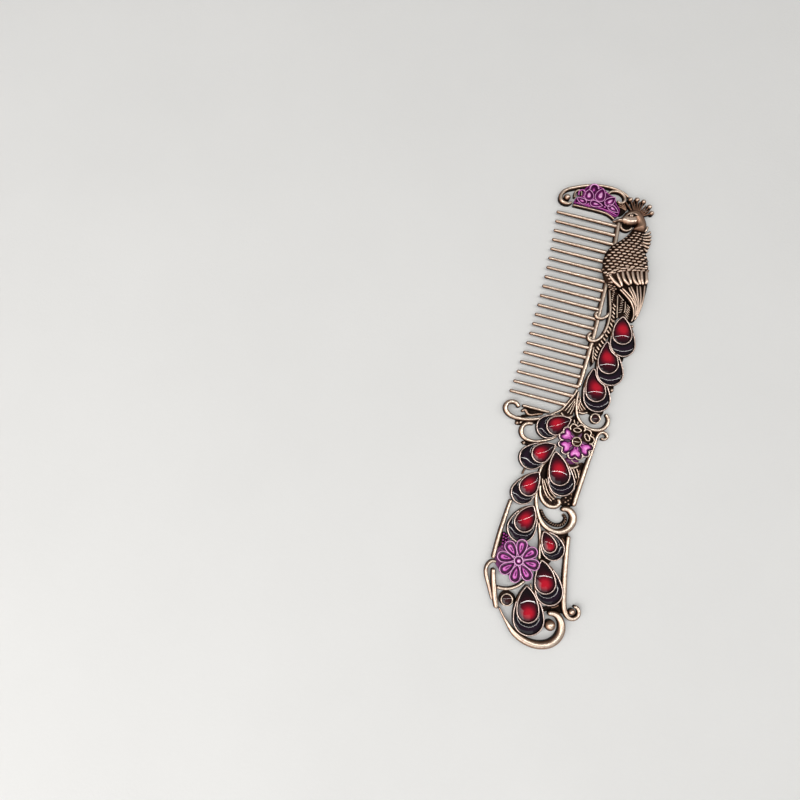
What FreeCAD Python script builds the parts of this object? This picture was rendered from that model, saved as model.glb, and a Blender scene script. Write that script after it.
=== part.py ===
"""A peacock hair comb in cast copper alloy with enamel inlays, lying on its back.

Frame: +Z up out of the decorated face, +Y along the comb towards the bird's end, the teeth
point to -X. The origin is the centre of the comb's footprint, on the surface it lies on.
Every wire, collet, plate and enamel fill is its own solid, in millimetres. A piece that is
made earlier keeps its shape, and a later one stops where it meets it.
"""

import FreeCAD
import Part
import math
import os

from FreeCAD import Vector

# ---- driving dimensions (mm) ----
TOOTH_COUNT = 20
TOOTH_PITCH = 3.885
FIRST_TOOTH_Y = 71.2
TOOTH_ROOT_R = 0.85
TOOTH_TIP_R = 0.6
TOOTH_AXIS_Z = 1.15
TIP_LINE_X = -16.2  # the shortest teeth end here
TIP_LINE_Y = 42.0  # and stand here along the comb
TIP_LINE_BOW = 0.0014  # the tip line bows outwards to both ends by this times the distance squared

SPINE_W = 1.7
WIRE_WALL = 1.35  # straight side of a wire, below its half-round crown
SPINE_WALL = 1.5
THIN_BAR_WALL = 0.9
BEADING_WALL = 0.6
STEM_WALL = 0.7
HOOK_WALL = 1.0
HOOK_BASE = 1.6  # the tail's hooks curl clear above the teeth's roots
STUD_CENTRE_Z = 1.4
FLOOR = 0.8  # metal under an enamel cell
RIM = 0.5  # metal wall round an enamel cell
RIM_TOP = 2.4
ENAMEL_TOP = 2.3
PLATE_TOP = 1.3  # pierced backing plates
WEB_TOP = 1.0
FLOWER_TOP = 2.5
PETAL_TOP = 2.9
LOTUS_TOP = 2.6
BIRD_TOP = 4.2
BIRD_BEVEL = 1.3
WING_TOP = 3.8
OVER_SPINE = 2.4  # the bird crosses the spine above this height
SPINE_RIGHT_X = 8.25
CABOCHON_TOP = 2.2
STATIONS_PER_SPAN = 3
END_ANGLES = (20, 45, 70)  # degrees round a wire's rounded end
END_CLEARANCE = 1.15  # no plain station stands closer to the end than this times its rounding
CRUMB = 0.15  # cubic mm: a smaller scrap left by a cut is dropped

pieces = {}


# ---- tools ----
def flat(x, y, z=0.0):
    return Vector(x, y, z)


def fitted(solid, beside):
    """What is left of a solid after every piece made so far, but those it sits in."""
    for name, others in pieces.items():
        if name in beside:
            continue
        for other in others:
            if solid.Solids and solid.BoundBox.intersect(other.BoundBox):
                solid = solid.cut(other)
    return [part for part in solid.Solids if part.Volume > CRUMB]


def add(name, *solids, beside=(), whole=False):
    """Files solids under a node name, cut back to fit, each in one piece unless it may be many."""
    for solid in solids:
        kept = fitted(solid, beside)
        if whole:
            pieces.setdefault(name, []).extend(kept)
        else:
            pieces.setdefault(name, []).append(max(kept, key=lambda part: part.Volume))


def section(at, across, width, wall, base):
    """A wire's section: a flat back, two straight sides and a half-round crown."""
    half = width / 2
    left, right = at + across * half, at - across * half
    up = Vector(0, 0, 1)
    a, b = left + up * base, left + up * (base + wall)
    c, d = right + up * (base + wall), right + up * base
    top = at + up * (base + wall + half)
    return Part.Wire([
        Part.makeLine(a, b),
        Part.Arc(b, top, c).toShape(),
        Part.makeLine(c, d),
        Part.makeLine(d, a),
    ])


def wire(route, wall=WIRE_WALL, base=0.0):
    """A half-round wire through (x, y, width) stops, with both its ends rounded off."""
    curve = Part.BSplineCurve()
    curve.interpolate([Vector(*stop) for stop in route])
    knots = curve.getKnots()
    speed = [Vector(*list(curve.getD1(k)[1])[:2]).Length for k in (knots[0], knots[-1])]
    stops = []
    for first, last in zip(knots, knots[1:]):
        step = (last - first) / STATIONS_PER_SPAN
        stops += [first + step * i for i in range(STATIONS_PER_SPAN)]
    stops = [(t, 1.0) for t in stops + [knots[-1]]]
    for end, rate, side in ((knots[0], speed[0], 1), (knots[-1], speed[1], -1)):
        reach = curve.value(end).z / 2 / rate
        stops = [(t, k) for t, k in stops if abs(t - end) > END_CLEARANCE * reach]
        for angle in END_ANGLES + (90,):
            turn = math.radians(angle)
            stops.append((end + side * reach * (1 - math.cos(turn)), math.sin(turn)))
    sections = []
    for t, share in sorted(stops):
        point, tangent = curve.getD1(t)
        along = Vector(tangent.x, tangent.y, 0).normalize()
        across = Vector(-along.y, along.x, 0)
        sections.append(section(flat(point.x, point.y), across, point.z * share, wall, base))
    return Part.makeLoft(sections, True, False)


def even(points, width):
    """The same width at every stop."""
    return [(x, y, width) for x, y in points]


def outline(points):
    """A closed smooth face through the points."""
    curve = Part.BSplineCurve()
    curve.interpolate([flat(*p) for p in points], PeriodicFlag=True)
    return Part.Face(Part.Wire(curve.toShape()))


def joined_outline(*runs):
    """A closed face from smooth runs that share their end points, with a corner at each."""
    edges = []
    for run in runs:
        curve = Part.BSplineCurve()
        curve.interpolate([flat(*p) for p in run])
        edges.append(curve.toShape())
    return Part.Face(Part.Wire(edges))


def slab(face, low, high):
    """A flat face made into a solid between two heights."""
    lifted = face.copy()
    lifted.translate(Vector(0, 0, low))
    return lifted.extrude(Vector(0, 0, high - low))


def disc(x, y, radius):
    return Part.Face(Part.Wire(Part.makeCircle(radius, flat(x, y))))


def oval(x, y, angle, long_half, short_half):
    """An elliptical face, its long axis turned by angle degrees from +X."""
    ellipse = Part.Ellipse(Vector(0, 0, 0), long_half, short_half)
    face = Part.Face(Part.Wire(ellipse.toShape()))
    face.rotate(Vector(0, 0, 0), Vector(0, 0, 1), angle)
    face.translate(flat(x, y))
    return face


def stud(x, y, radius, centre_z):
    """A domed pin: a ball on a straight shank of its own width."""
    shank = Part.makeCylinder(radius, centre_z, flat(x, y))
    return shank.fuse(Part.makeSphere(radius, Vector(x, y, centre_z))).removeSplitter()


def teardrop(tip, foot, width, shrink=0.0):
    """A pear-shaped face from its pointed tip to the foot of its round end, taken in by shrink."""
    tip, foot = flat(*tip), flat(*foot)
    along = (foot - tip).normalize()
    across = Vector(-along.y, along.x, 0)
    radius = width / 2
    reach = (foot - tip).Length - radius
    bow = (reach**2 + radius**2) / (2 * radius)
    tip_angle = math.atan2(reach, bow - radius)
    centre = foot - along * radius
    radius -= shrink
    tip = tip + along * (shrink / math.sin(tip_angle))
    reach = (centre - tip).Length
    bow = (reach**2 + radius**2) / (2 * radius)
    half_turn = math.atan2(reach, bow - radius) / 2
    edges = []
    for side in (1, -1):
        shoulder = centre + across * (side * radius)
        hub = centre + across * (side * (radius - bow))
        middle = hub + across * (side * bow * math.cos(half_turn)) - along * (
            bow * math.sin(half_turn)
        )
        edges.append(Part.Arc(tip, middle, shoulder).toShape())
    left, right = centre + across * radius, centre - across * radius
    edges.append(Part.Arc(left, centre + along * radius, right).toShape())
    return Part.Face(Part.Wire(Part.__sortEdges__(edges)))


def largest(face_set):
    return max(face_set.Faces, key=lambda f: f.Area)


def around(centre, angle, reach):
    """The point at a distance from a centre, in a direction given in degrees."""
    turn = math.radians(angle)
    return (centre[0] + reach * math.cos(turn), centre[1] + reach * math.sin(turn))


# ---- blade: spine and teeth ----
GUARD = [
    (-14.2, -8.1, 1.4), (-15.1, -6.9, 1.5), (-16.8, -6.5, 1.6), (-18.5, -7.4, 1.7),
    (-19.0, -9.2, 1.8), (-17.8, -11.0, 1.7), (-14.8, -12.0, 1.5), (-11.4, -11.8, 1.3),
    (-7.6, -10.8, 1.2), (-4.4, -9.3, 1.1), (-1.4, -7.0, 1.0), (0.9, -5.0, 0.9),
    (2.8, -1.6, 0.8), (4.4, 1.8, 0.8), (5.1, 4.2, 0.8),
]
SPINE = even(
    [
        (6.8, 74.0), (7.1, 67.5), (7.3, 60.0), (7.3, 50.0), (7.2, 44.0), (7.0, 36.0),
        (6.9, 29.0), (6.5, 21.0), (6.2, 15.0), (5.8, 9.5), (5.35, 4.9),
    ],
    SPINE_W,
)


def route_x(route, y):
    """A route's centre line at a station along the comb, between its stops."""
    for (x0, y0, _), (x1, y1, _) in zip(route, route[1:]):
        if y1 <= y <= y0:
            return x0 + (x1 - x0) * (y0 - y) / (y0 - y1)


def tooth(y, root_x, tip_x):
    """A round tapered tooth with a rounded tip, its axis along -X."""
    length = root_x - tip_x
    shoulder = length - TOOTH_TIP_R
    turn = math.radians(45)
    on_tip = Vector(shoulder + TOOTH_TIP_R * math.sin(turn), TOOTH_TIP_R * math.cos(turn), 0)
    profile = Part.Face(Part.Wire([
        Part.makeLine(Vector(0, 0, 0), Vector(0, TOOTH_ROOT_R, 0)),
        Part.makeLine(Vector(0, TOOTH_ROOT_R, 0), Vector(shoulder, TOOTH_TIP_R, 0)),
        Part.Arc(Vector(shoulder, TOOTH_TIP_R, 0), on_tip, Vector(length, 0, 0)).toShape(),
        Part.makeLine(Vector(length, 0, 0), Vector(0, 0, 0)),
    ]))
    solid = profile.revolve(Vector(0, 0, 0), Vector(1, 0, 0), 360)
    solid.rotate(Vector(0, 0, 0), Vector(0, 0, 1), 180)
    solid.translate(Vector(root_x, y, TOOTH_AXIS_Z))
    return solid


def teeth():
    for index in range(TOOTH_COUNT):
        y = FIRST_TOOTH_Y - index * TOOTH_PITCH
        tip_x = TIP_LINE_X - TIP_LINE_BOW * (y - TIP_LINE_Y) ** 2
        root_x = route_x(SPINE if y > SPINE[-1][1] else GUARD[::-1], y)
        add("comb_teeth", tooth(y, root_x, tip_x))


# ---- top guard: arch, scrolls and lotus ----
LOTUS_PETALS = (
    # x, y, angle, length / 2, width / 2
    (-6.8, 80.4, 95, 2.1, 1.6),
    (-2.5, 81.9, 85, 2.6, 1.75),
    (1.7, 80.3, 55, 2.35, 1.45),
    (-9.3, 77.4, 165, 2.1, 1.2),
    (-3.2, 77.3, 0, 2.5, 1.25),
    (3.6, 77.3, -22, 2.3, 1.25),
    (-5.9, 83.9, 80, 1.1, 0.9),
)
LOTUS_BEAD_R = 0.45
LOTUS_BEADS = ((-6.3, 76.9), (0.2, 77.3), (-4.6, 79.3), (-0.1, 79.0), (-8.7, 79.4), (-0.5, 83.4))


def top_guard():
    add("top_arch", wire([
        (-12.4, 76.6, 0.9), (-13.5, 75.7, 1.3), (-15.2, 75.5, 1.5), (-16.7, 76.3, 1.6),
        (-17.2, 78.0, 1.6), (-16.7, 79.8, 1.5), (-15.2, 81.4, 1.4), (-12.6, 82.9, 1.3),
        (-9.6, 84.3, 1.3), (-6.2, 85.5, 1.3), (-2.6, 86.3, 1.2), (1.0, 86.5, 1.2),
        (4.6, 86.0, 1.1), (7.2, 85.1, 1.0), (8.7, 84.2, 0.8),
    ]))
    add("top_scrolls", wire([
        (-9.5, 80.0, 0.7), (-9.6, 81.2, 0.8), (-10.5, 82.2, 0.9), (-11.5, 81.8, 0.9),
        (-12.1, 80.4, 0.9), (-11.8, 78.7, 0.8),
    ]))
    add("top_scrolls", wire([
        (0.3, 83.0, 0.8), (1.3, 84.6, 1.0), (3.2, 85.4, 1.1), (5.6, 85.2, 1.2),
        (7.2, 83.7, 1.2), (7.2, 81.9, 1.1), (5.8, 81.0, 1.0), (4.6, 81.7, 0.9),
    ]))
    add("lotus_sill", wire([
        (-11.9, 75.5, 0.7), (-6.0, 75.6, 0.8), (0.0, 75.5, 0.8), (3.0, 74.9, 0.8),
        (4.9, 73.7, 0.7),
    ]))
    add("beads", stud(-14.7, 78.0, 1.3, STUD_CENTRE_Z))


def lotus():
    for petal in LOTUS_PETALS:
        add("lotus_enamel", slab(oval(*petal), PLATE_TOP, LOTUS_TOP))
    for x, y in LOTUS_BEADS:
        add("lotus_enamel", slab(disc(x, y, LOTUS_BEAD_R), PLATE_TOP, LOTUS_TOP))
    add("lotus_plate", slab(outline([
        (-11.8, 76.1), (-11.3, 78.4), (-9.4, 80.0), (-9.0, 82.4), (-8.0, 84.4), (-5.6, 85.9),
        (-3.0, 85.6), (-0.6, 84.4), (1.2, 83.2), (3.6, 82.2), (4.4, 80.2), (6.0, 78.6),
        (6.4, 77.2), (4.6, 75.2), (1.0, 76.0), (-4.0, 76.1),
    ]), 0, PLATE_TOP), beside=("lotus_enamel",))


# ---- the bird ----
WING_SEAM = [(8.4, 45.6), (7.2, 49.0), (9.0, 51.0), (12.4, 53.2), (16.4, 54.4), (21.4, 55.8)]
NECK_SEAM = [(12.5, 70.9), (14.7, 70.6), (16.8, 70.8)]


def over_the_spine(face, top):
    """A bevelled solid that reaches down to the table beside the spine and steps over it."""
    high = slab(face, OVER_SPINE, top)
    upper = [e for e in high.Edges if e.BoundBox.ZMin > top - 0.01]
    high = high.makeChamfer(min(BIRD_BEVEL, top - OVER_SPINE - 0.3), upper)
    right = Part.makePlane(100, 200, flat(SPINE_RIGHT_X, -50))
    low = slab(largest(face.common(right)), 0, OVER_SPINE)
    return high.fuse(low).removeSplitter().Solids[0]


def bird():
    add("peacock_head", over_the_spine(joined_outline(
        [(4.8, 73.1), (6.4, 74.2), (7.6, 75.4), (8.7, 77.4), (10.4, 78.8), (12.6, 79.3),
         (14.8, 78.7), (16.2, 77.0), (16.9, 74.4), (16.8, 70.8)],
        NECK_SEAM[::-1],
        [(12.5, 70.9), (13.2, 72.4), (13.4, 73.6), (11.2, 73.5), (9.0, 73.2), (6.6, 73.2),
         (4.8, 73.1)],
    ), BIRD_TOP))
    add("peacock_body", over_the_spine(joined_outline(
        [(12.5, 70.9), (11.0, 68.0), (9.4, 65.9), (6.8, 63.0), (4.9, 60.1), (4.0, 56.5),
         (4.2, 52.4), (5.3, 48.9), (6.8, 46.9), (8.4, 45.6)],
        WING_SEAM,
        [(21.4, 55.8), (20.8, 58.6), (19.8, 61.4), (18.2, 63.6), (17.2, 67.2), (16.8, 70.8)],
        NECK_SEAM[::-1],
    ), BIRD_TOP))
    add("peacock_wing", slab(joined_outline(
        WING_SEAM,
        [(21.4, 55.8), (22.2, 51.0), (22.3, 46.4), (21.9, 42.0), (21.2, 38.2), (20.2, 34.8)],
        [(20.2, 34.8), (19.0, 35.0), (19.0, 38.4), (17.6, 41.2), (15.0, 43.4), (12.4, 45.6),
         (10.4, 46.6), (8.4, 45.6)],
    ), 0, WING_TOP))
    add("throat_ring", wire(even([
        (8.0, 72.9), (8.0, 71.4), (9.0, 70.5), (10.4, 70.3), (11.6, 71.0), (12.4, 72.3),
    ], 0.95)))


CREST_BALLS = ((9.4, 83.4), (12.0, 84.0), (14.6, 83.8), (17.2, 82.3), (18.5, 79.9))
CREST_ROOT = (12.8, 77.6)
CREST_BALL_R = 0.95
CREST_LEAF_W = 1.5
CREST_LEAF_BASE = 0.4
CREST_LEAF_TOP = 1.9
PLUME_LONG_R = 1.9
PLUME_SHORT_R = 0.95
PLUME_TOP = 3.0
RUFF_PLUMES = (
    # x, y, angle
    (18.0, 73.9, 62),
    (18.9, 71.6, 38),
    (19.2, 69.6, 20),
    (19.2, 67.5, 4),
    (18.8, 65.5, -10),
    (18.6, 63.6, -24),
)


def plumage():
    for x, y in CREST_BALLS:
        add("crest", stud(x, y, CREST_BALL_R, STUD_CENTRE_Z))
    for x, y in CREST_BALLS:
        leaf = teardrop((x, y), CREST_ROOT, CREST_LEAF_W)
        add("crest", slab(leaf, CREST_LEAF_BASE, CREST_LEAF_TOP))
    for x, y, turn in RUFF_PLUMES:
        add("neck_ruff", slab(oval(x, y, turn, PLUME_LONG_R, PLUME_SHORT_R), 0, PLUME_TOP))


# ---- enamel drops ----
DROPS = {
    # tip, foot, width, foot of the red drop, its width
    "tail_1": ((15.7, 35.9), (18.6, 20.2), 9.7, (17.4, 24.7), 7.6),
    "tail_2": ((11.8, 24.9), (16.8, 8.3), 10.1, (14.9, 12.4), 7.9),
    "tail_3": ((9.0, 13.4), (14.2, -2.5), 10.2, (12.8, 1.0), 7.8),
    "grip_1": ((5.4, -7.4), (-6.1, -14.9), 8.6, (-2.6, -13.6), 7.2),
    "grip_2": ((1.8, -17.9), (-9.2, -27.9), 9.0, (-5.3, -25.2), 7.0),
    "grip_3": ((-1.8, -29.0), (-8.0, -41.8), 8.6, (-6.0, -38.6), 7.0),
    "grip_4": ((-1.3, -41.2), (-5.2, -55.1), 10.2, (-4.3, -51.4), 7.4),
    "grip_5": ((1.9, -20.2), (8.6, -35.4), 9.8, (6.8, -32.1), 7.8),
    "grip_6": ((4.0, -49.0), (11.4, -57.4), 8.4, (8.8, -55.7), 5.4),
    "grip_7": ((5.5, -58.7), (12.6, -73.1), 9.9, (9.9, -69.9), 7.8),
    "grip_8": ((2.4, -68.5), (7.1, -84.9), 11.0, (5.8, -80.9), 8.1),
}


def drops():
    """Each drop is a metal collet with two cells: a red drop and the dark crescent round its foot."""
    taken = None
    for name, (tip, foot, width, red_foot, red_width) in DROPS.items():
        whole = teardrop(tip, foot, width)
        free = whole if taken is None else largest(whole.cut(taken))
        taken = free if taken is None else taken.fuse(free)
        cell = teardrop(tip, foot, width, RIM)
        red = teardrop(tip, red_foot, red_width, RIM)
        red_wall = teardrop(tip, red_foot, red_width)
        if free is not whole:
            inner = largest(free.makeOffset2D(-RIM))
            cell, red = largest(cell.common(inner)), largest(red.common(inner))
        crescent = largest(cell.cut(red_wall))
        collet = slab(free, 0, RIM_TOP)
        collet = collet.cut(slab(red, FLOOR, RIM_TOP)).cut(slab(crescent, FLOOR, RIM_TOP))
        own = (f"collet_{name}",)
        add(own[0], collet)
        add(f"red_drop_{name}", slab(red, FLOOR, ENAMEL_TOP), beside=own)
        add("dark_crescents", slab(crescent, FLOOR, ENAMEL_TOP), beside=own)


# ---- tail: feather web, stems and hooks ----
def tail_wires():
    stems = (
        [(8.7, 45.0, 0.8), (9.4, 42.2, 0.9), (10.2, 39.0, 1.0), (10.8, 36.0, 1.0),
         (10.9, 33.0, 1.0), (10.7, 30.0, 1.1), (10.0, 27.2, 1.2)],
        [(12.2, 43.4, 0.5), (12.7, 40.4, 0.6), (13.2, 37.4, 0.6), (13.7, 34.6, 0.5)],
        [(15.5, 41.8, 0.5), (15.9, 39.4, 0.6), (16.0, 37.2, 0.5)],
        [(7.6, 21.4, 0.5), (7.8, 18.4, 0.6), (8.5, 15.2, 0.5)],
    )
    for stem in stems:
        add("tail_stems", wire(stem, STEM_WALL, PLATE_TOP))
    hooks = (
        [(10.4, 35.6, 1.0), (9.4, 33.7, 1.2), (7.8, 32.6, 1.3), (6.2, 32.7, 1.4),
         (5.5, 33.8, 1.3), (6.3, 35.0, 1.1)],
        [(9.9, 27.0, 1.2), (8.6, 24.6, 1.3), (6.8, 23.3, 1.4), (5.1, 23.5, 1.4),
         (4.5, 24.9, 1.3), (5.4, 26.3, 1.1)],
    )
    for hook in hooks:
        add("tail_hooks", wire(hook, HOOK_WALL, HOOK_BASE))


def tail_web():
    add("tail_web", slab(joined_outline(
        [(8.4, 45.6), (9.2, 41.0), (10.1, 36.0), (10.2, 30.0), (9.2, 26.6), (7.5, 22.6),
         (7.3, 18.0), (8.3, 13.9)],
        [(8.3, 13.9), (9.8, 18.0), (11.4, 24.4), (13.0, 29.0), (15.2, 35.4), (17.0, 34.8),
         (19.6, 35.0)],
        [(19.6, 35.0), (18.6, 39.6), (16.0, 42.6), (12.6, 45.6), (10.4, 46.6), (8.4, 45.6)],
    ), 0, PLATE_TOP))


# ---- grip: scrolls, vine and rails ----
def main_scrolls():
    add("spine_bar", wire(SPINE, SPINE_WALL))
    add("guard_scroll", wire(GUARD, SPINE_WALL))
    add("ring_scroll", wire([
        (5.9, 3.6, 0.8), (5.8, 0.6, 0.9), (6.1, -1.8, 1.0), (6.9, -4.8, 1.1),
        (8.6, -7.2, 1.2), (11.2, -8.8, 1.3), (14.2, -9.1, 1.4), (16.9, -8.2, 1.5),
        (18.4, -6.0, 1.5), (18.3, -3.6, 1.3), (17.1, -2.2, 1.0),
    ]))
    add("vine_scroll", wire([
        (2.4, -18.2, 0.8), (1.1, -20.6, 0.9), (0.2, -23.8, 1.0), (-1.2, -26.6, 1.0),
        (-1.7, -30.4, 1.1), (-1.5, -34.6, 1.1), (-0.9, -38.4, 1.3), (0.4, -42.4, 1.4),
        (2.8, -46.1, 1.6), (6.0, -48.0, 1.8), (9.4, -48.1, 2.1), (12.2, -46.4, 2.5),
        (13.5, -43.4, 2.8), (12.8, -40.6, 2.6), (10.6, -39.5, 2.1), (8.6, -40.2, 1.7),
    ]))
    add("vine_scroll", wire([
        (1.8, -46.4, 0.9), (3.0, -49.6, 1.1), (3.9, -53.0, 1.1), (4.5, -56.4, 1.1),
        (5.0, -59.2, 0.9),
    ]))


def side_scrolls():
    add("ring_scroll", wire([(7.2, -4.0, 0.8), (8.8, -4.2, 0.9), (10.6, -3.3, 0.8)]))
    add("guard_bar", wire([(-13.2, -6.9, 1.0), (-8.0, -6.9, 1.1), (-2.8, -6.9, 1.0)]))
    add("guard_bar", wire([
        (-12.9, -9.2, 1.2), (-11.9, -8.3, 1.0), (-10.6, -9.4, 0.9), (-7.8, -9.0, 0.8),
        (-5.0, -8.2, 0.7),
    ], THIN_BAR_WALL))
    add("guard_curl", wire([
        (-7.7, -12.7, 1.2), (-9.4, -12.8, 1.4), (-10.9, -13.9, 1.6), (-11.5, -15.8, 1.7),
        (-10.5, -17.9, 1.6), (-8.2, -18.8, 1.4), (-5.2, -18.6, 1.3), (-2.4, -17.5, 1.2),
        (0.0, -16.2, 1.0), (1.6, -14.9, 0.9),
    ]))
    add("scroll_beading", wire([
        (1.8, -42.0, 1.2), (3.6, -44.3, 1.3), (6.0, -45.7, 1.4), (8.6, -45.9, 1.5),
        (10.6, -44.6, 1.5), (10.9, -42.6, 1.3), (9.8, -41.6, 1.1),
    ], BEADING_WALL))


CABOCHONS = (
    # x, y, ring radius, stone radius
    (13.7, -4.9, 2.0, 1.4),
    (-3.1, -75.2, 2.2, 1.7),
)


def cabochons():
    for x, y, ring_r, stone_r in CABOCHONS:
        ring = slab(disc(x, y, ring_r), 0, CABOCHON_TOP)
        ring = ring.cut(slab(disc(x, y, stone_r), FLOOR, CABOCHON_TOP))
        add("cabochon_cups", ring)
        add("cabochons", slab(disc(x, y, stone_r), FLOOR, CABOCHON_TOP), beside=("cabochon_cups",))


def leaf_fans():
    rims = (
        [(1.1, -5.8, 0.7), (2.2, -6.9, 0.8), (4.2, -7.0, 0.8), (5.6, -6.2, 0.7)],
        [(-0.5, -33.6, 0.8), (0.3, -36.8, 1.0), (2.2, -39.2, 1.2), (4.8, -40.1, 1.4),
         (6.9, -39.3, 1.6), (7.4, -37.8, 1.5), (6.5, -36.7, 1.2)],
        [(3.1, -20.6, 0.7), (4.6, -23.0, 0.8), (6.8, -24.5, 0.9), (9.4, -24.7, 0.9),
         (11.6, -23.2, 0.8)],
    )
    for rim in rims:
        add("leaf_fans", wire(rim))
    fans = (
        ([(4.9, 2.0), (2.9, -1.8), (1.0, -5.4)], [(1.0, -5.4), (3.2, -6.9), (5.7, -5.6)],
         [(5.7, -5.6), (5.6, -1.6), (4.9, 2.0)]),
        ([(6.6, 1.4), (7.6, 0.6), (9.2, -1.6), (10.8, -2.8)],
         [(10.8, -2.8), (8.6, -4.0), (6.8, -3.6)], [(6.8, -3.6), (6.4, -1.4), (6.6, 1.4)]),
        ([(-0.9, -30.4), (1.4, -33.4), (4.4, -36.0), (6.6, -36.8)],
         [(6.6, -36.8), (6.4, -38.8), (3.4, -39.4), (0.8, -37.2), (-0.9, -30.4)]),
        ([(3.4, -19.8), (5.6, -22.2), (9.0, -23.2), (12.4, -21.8)],
         [(12.4, -21.8), (11.0, -24.0), (6.8, -24.4), (3.4, -19.8)]),
    )
    for fan in fans:
        add("leaf_fans", slab(joined_outline(*fan), 0, PLATE_TOP))


def rails():
    add("rail_left", wire([
        (-9.4, -41.2, 1.3), (-9.9, -45.6, 1.4), (-10.4, -51.0, 1.5), (-10.8, -57.0, 1.5),
        (-10.9, -62.9, 1.5),
    ], SPINE_WALL))
    add("rail_right", wire([
        (17.3, -11.4, 0.9), (18.6, -11.5, 1.0), (19.4, -10.5, 1.1), (18.8, -9.4, 1.1),
        (17.4, -9.2, 1.1), (16.2, -10.2, 1.2), (15.6, -12.6, 1.2), (15.2, -16.2, 1.3),
        (14.5, -20.6, 1.6), (13.9, -25.2, 1.8), (13.4, -30.2, 1.8), (12.9, -35.0, 1.7),
        (12.7, -38.0, 1.6),
    ]))
    add("rail_right", wire([
        (13.2, -48.4, 1.6), (13.5, -52.4, 1.7), (14.1, -57.4, 1.8), (14.8, -62.4, 1.9),
        (15.6, -67.0, 1.9), (16.4, -71.2, 1.9), (17.6, -74.2, 1.8), (19.6, -75.7, 1.6),
        (21.5, -75.0, 1.5), (22.2, -73.2, 1.4), (21.2, -71.6, 1.2), (19.9, -71.5, 1.0),
    ]))
    add("beads", stud(19.7, -73.4, 1.2, STUD_CENTRE_Z))


def end_ornament():
    add("end_scroll", wire([
        (-5.0, -78.4, 0.6), (-3.0, -80.8, 0.6), (-0.8, -82.9, 0.7), (1.6, -85.0, 1.4),
        (4.6, -86.5, 2.3), (8.4, -87.2, 2.7), (12.2, -86.7, 2.8), (15.6, -84.7, 2.9),
        (17.3, -81.4, 2.9), (16.9, -77.9, 2.6), (14.6, -75.7, 2.2), (11.6, -76.0, 1.8),
    ]))
    add("end_hook", wire([
        (-10.1, -66.0, 1.6), (-9.3, -69.2, 1.8), (-8.3, -72.4, 1.9), (-7.2, -75.6, 1.9),
        (-5.8, -79.0, 1.6),
    ], SPINE_WALL))
    add("end_hook", wire([
        (-9.4, -63.8, 1.0), (-10.6, -63.7, 1.2), (-12.0, -65.0, 1.3), (-12.4, -67.2, 1.3),
        (-11.6, -69.6, 1.3), (-10.2, -71.8, 1.1),
    ]))
    add("cross_wire", wire(even([
        (-7.6, -72.0), (-5.0, -71.9), (-2.4, -71.1), (-0.2, -69.5), (1.6, -67.4),
    ], 1.25)))
    add("beads", stud(13.2, -79.6, 1.9, 1.7))


# ---- flowers ----
FLOWERS = {
    # centre, petals, first angle, reach, lobe width, lobe offsets, boss radius, bare petals
    "flower_upper": ((8.6, -15.2), 6, 97, 6.6, 3.3, (-14, 14), 1.6, (0, 5)),
    "flower_lower": ((-2.3, -61.3), 8, 0, 7.6, 3.9, (0,), 1.0, ()),
}
FILL_START = 2.0  # an enamel petal starts this far from the flower's centre
PETAL_RIM = 0.6
BOSS_H = 0.7
BOSS_LEDGE = 1.2  # the plate reaches this far past the boss between the petals


def flowers():
    """A plate of petals with an enamel fill on each but the bare ones, and a boss in the middle."""
    for name, (centre, count, first, reach, width, lobes, boss_r, bare) in FLOWERS.items():
        add("flower_bosses", slab(disc(*centre, boss_r), FLOWER_TOP, FLOWER_TOP + BOSS_H))
        outlines = [disc(*centre, boss_r + BOSS_LEDGE)]
        for index in range(count):
            for lobe in lobes:
                angle = first + 360 * index / count + lobe
                far = around(centre, angle, reach)
                outlines.append(teardrop(centre, far, width))
                if index not in bare:
                    near = around(centre, angle, FILL_START)
                    inner = around(centre, angle, reach - PETAL_RIM)
                    fill = teardrop(near, inner, width - 2 * PETAL_RIM)
                    add(f"{name}_enamel", slab(fill, FLOWER_TOP, PETAL_TOP))
        slabs = [slab(each, 0, FLOWER_TOP) for each in outlines]
        plate = slabs[0].multiFuse(slabs[1:]).removeSplitter()
        add(f"{name}_plate", plate, beside=(f"{name}_enamel", "flower_bosses"))


TRIM_STUDS = (
    # x, y, radius
    (20.0, 33.0, 0.6),
    (17.5, 7.0, 0.7),
    (-13.6, -13.8, 0.65),
    (-12.4, -13.3, 0.5),
    (-9.5, -20.3, 0.6),
)


def trim_studs():
    for x, y, radius in TRIM_STUDS:
        add("beads", stud(x, y, radius, STUD_CENTRE_Z))


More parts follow.
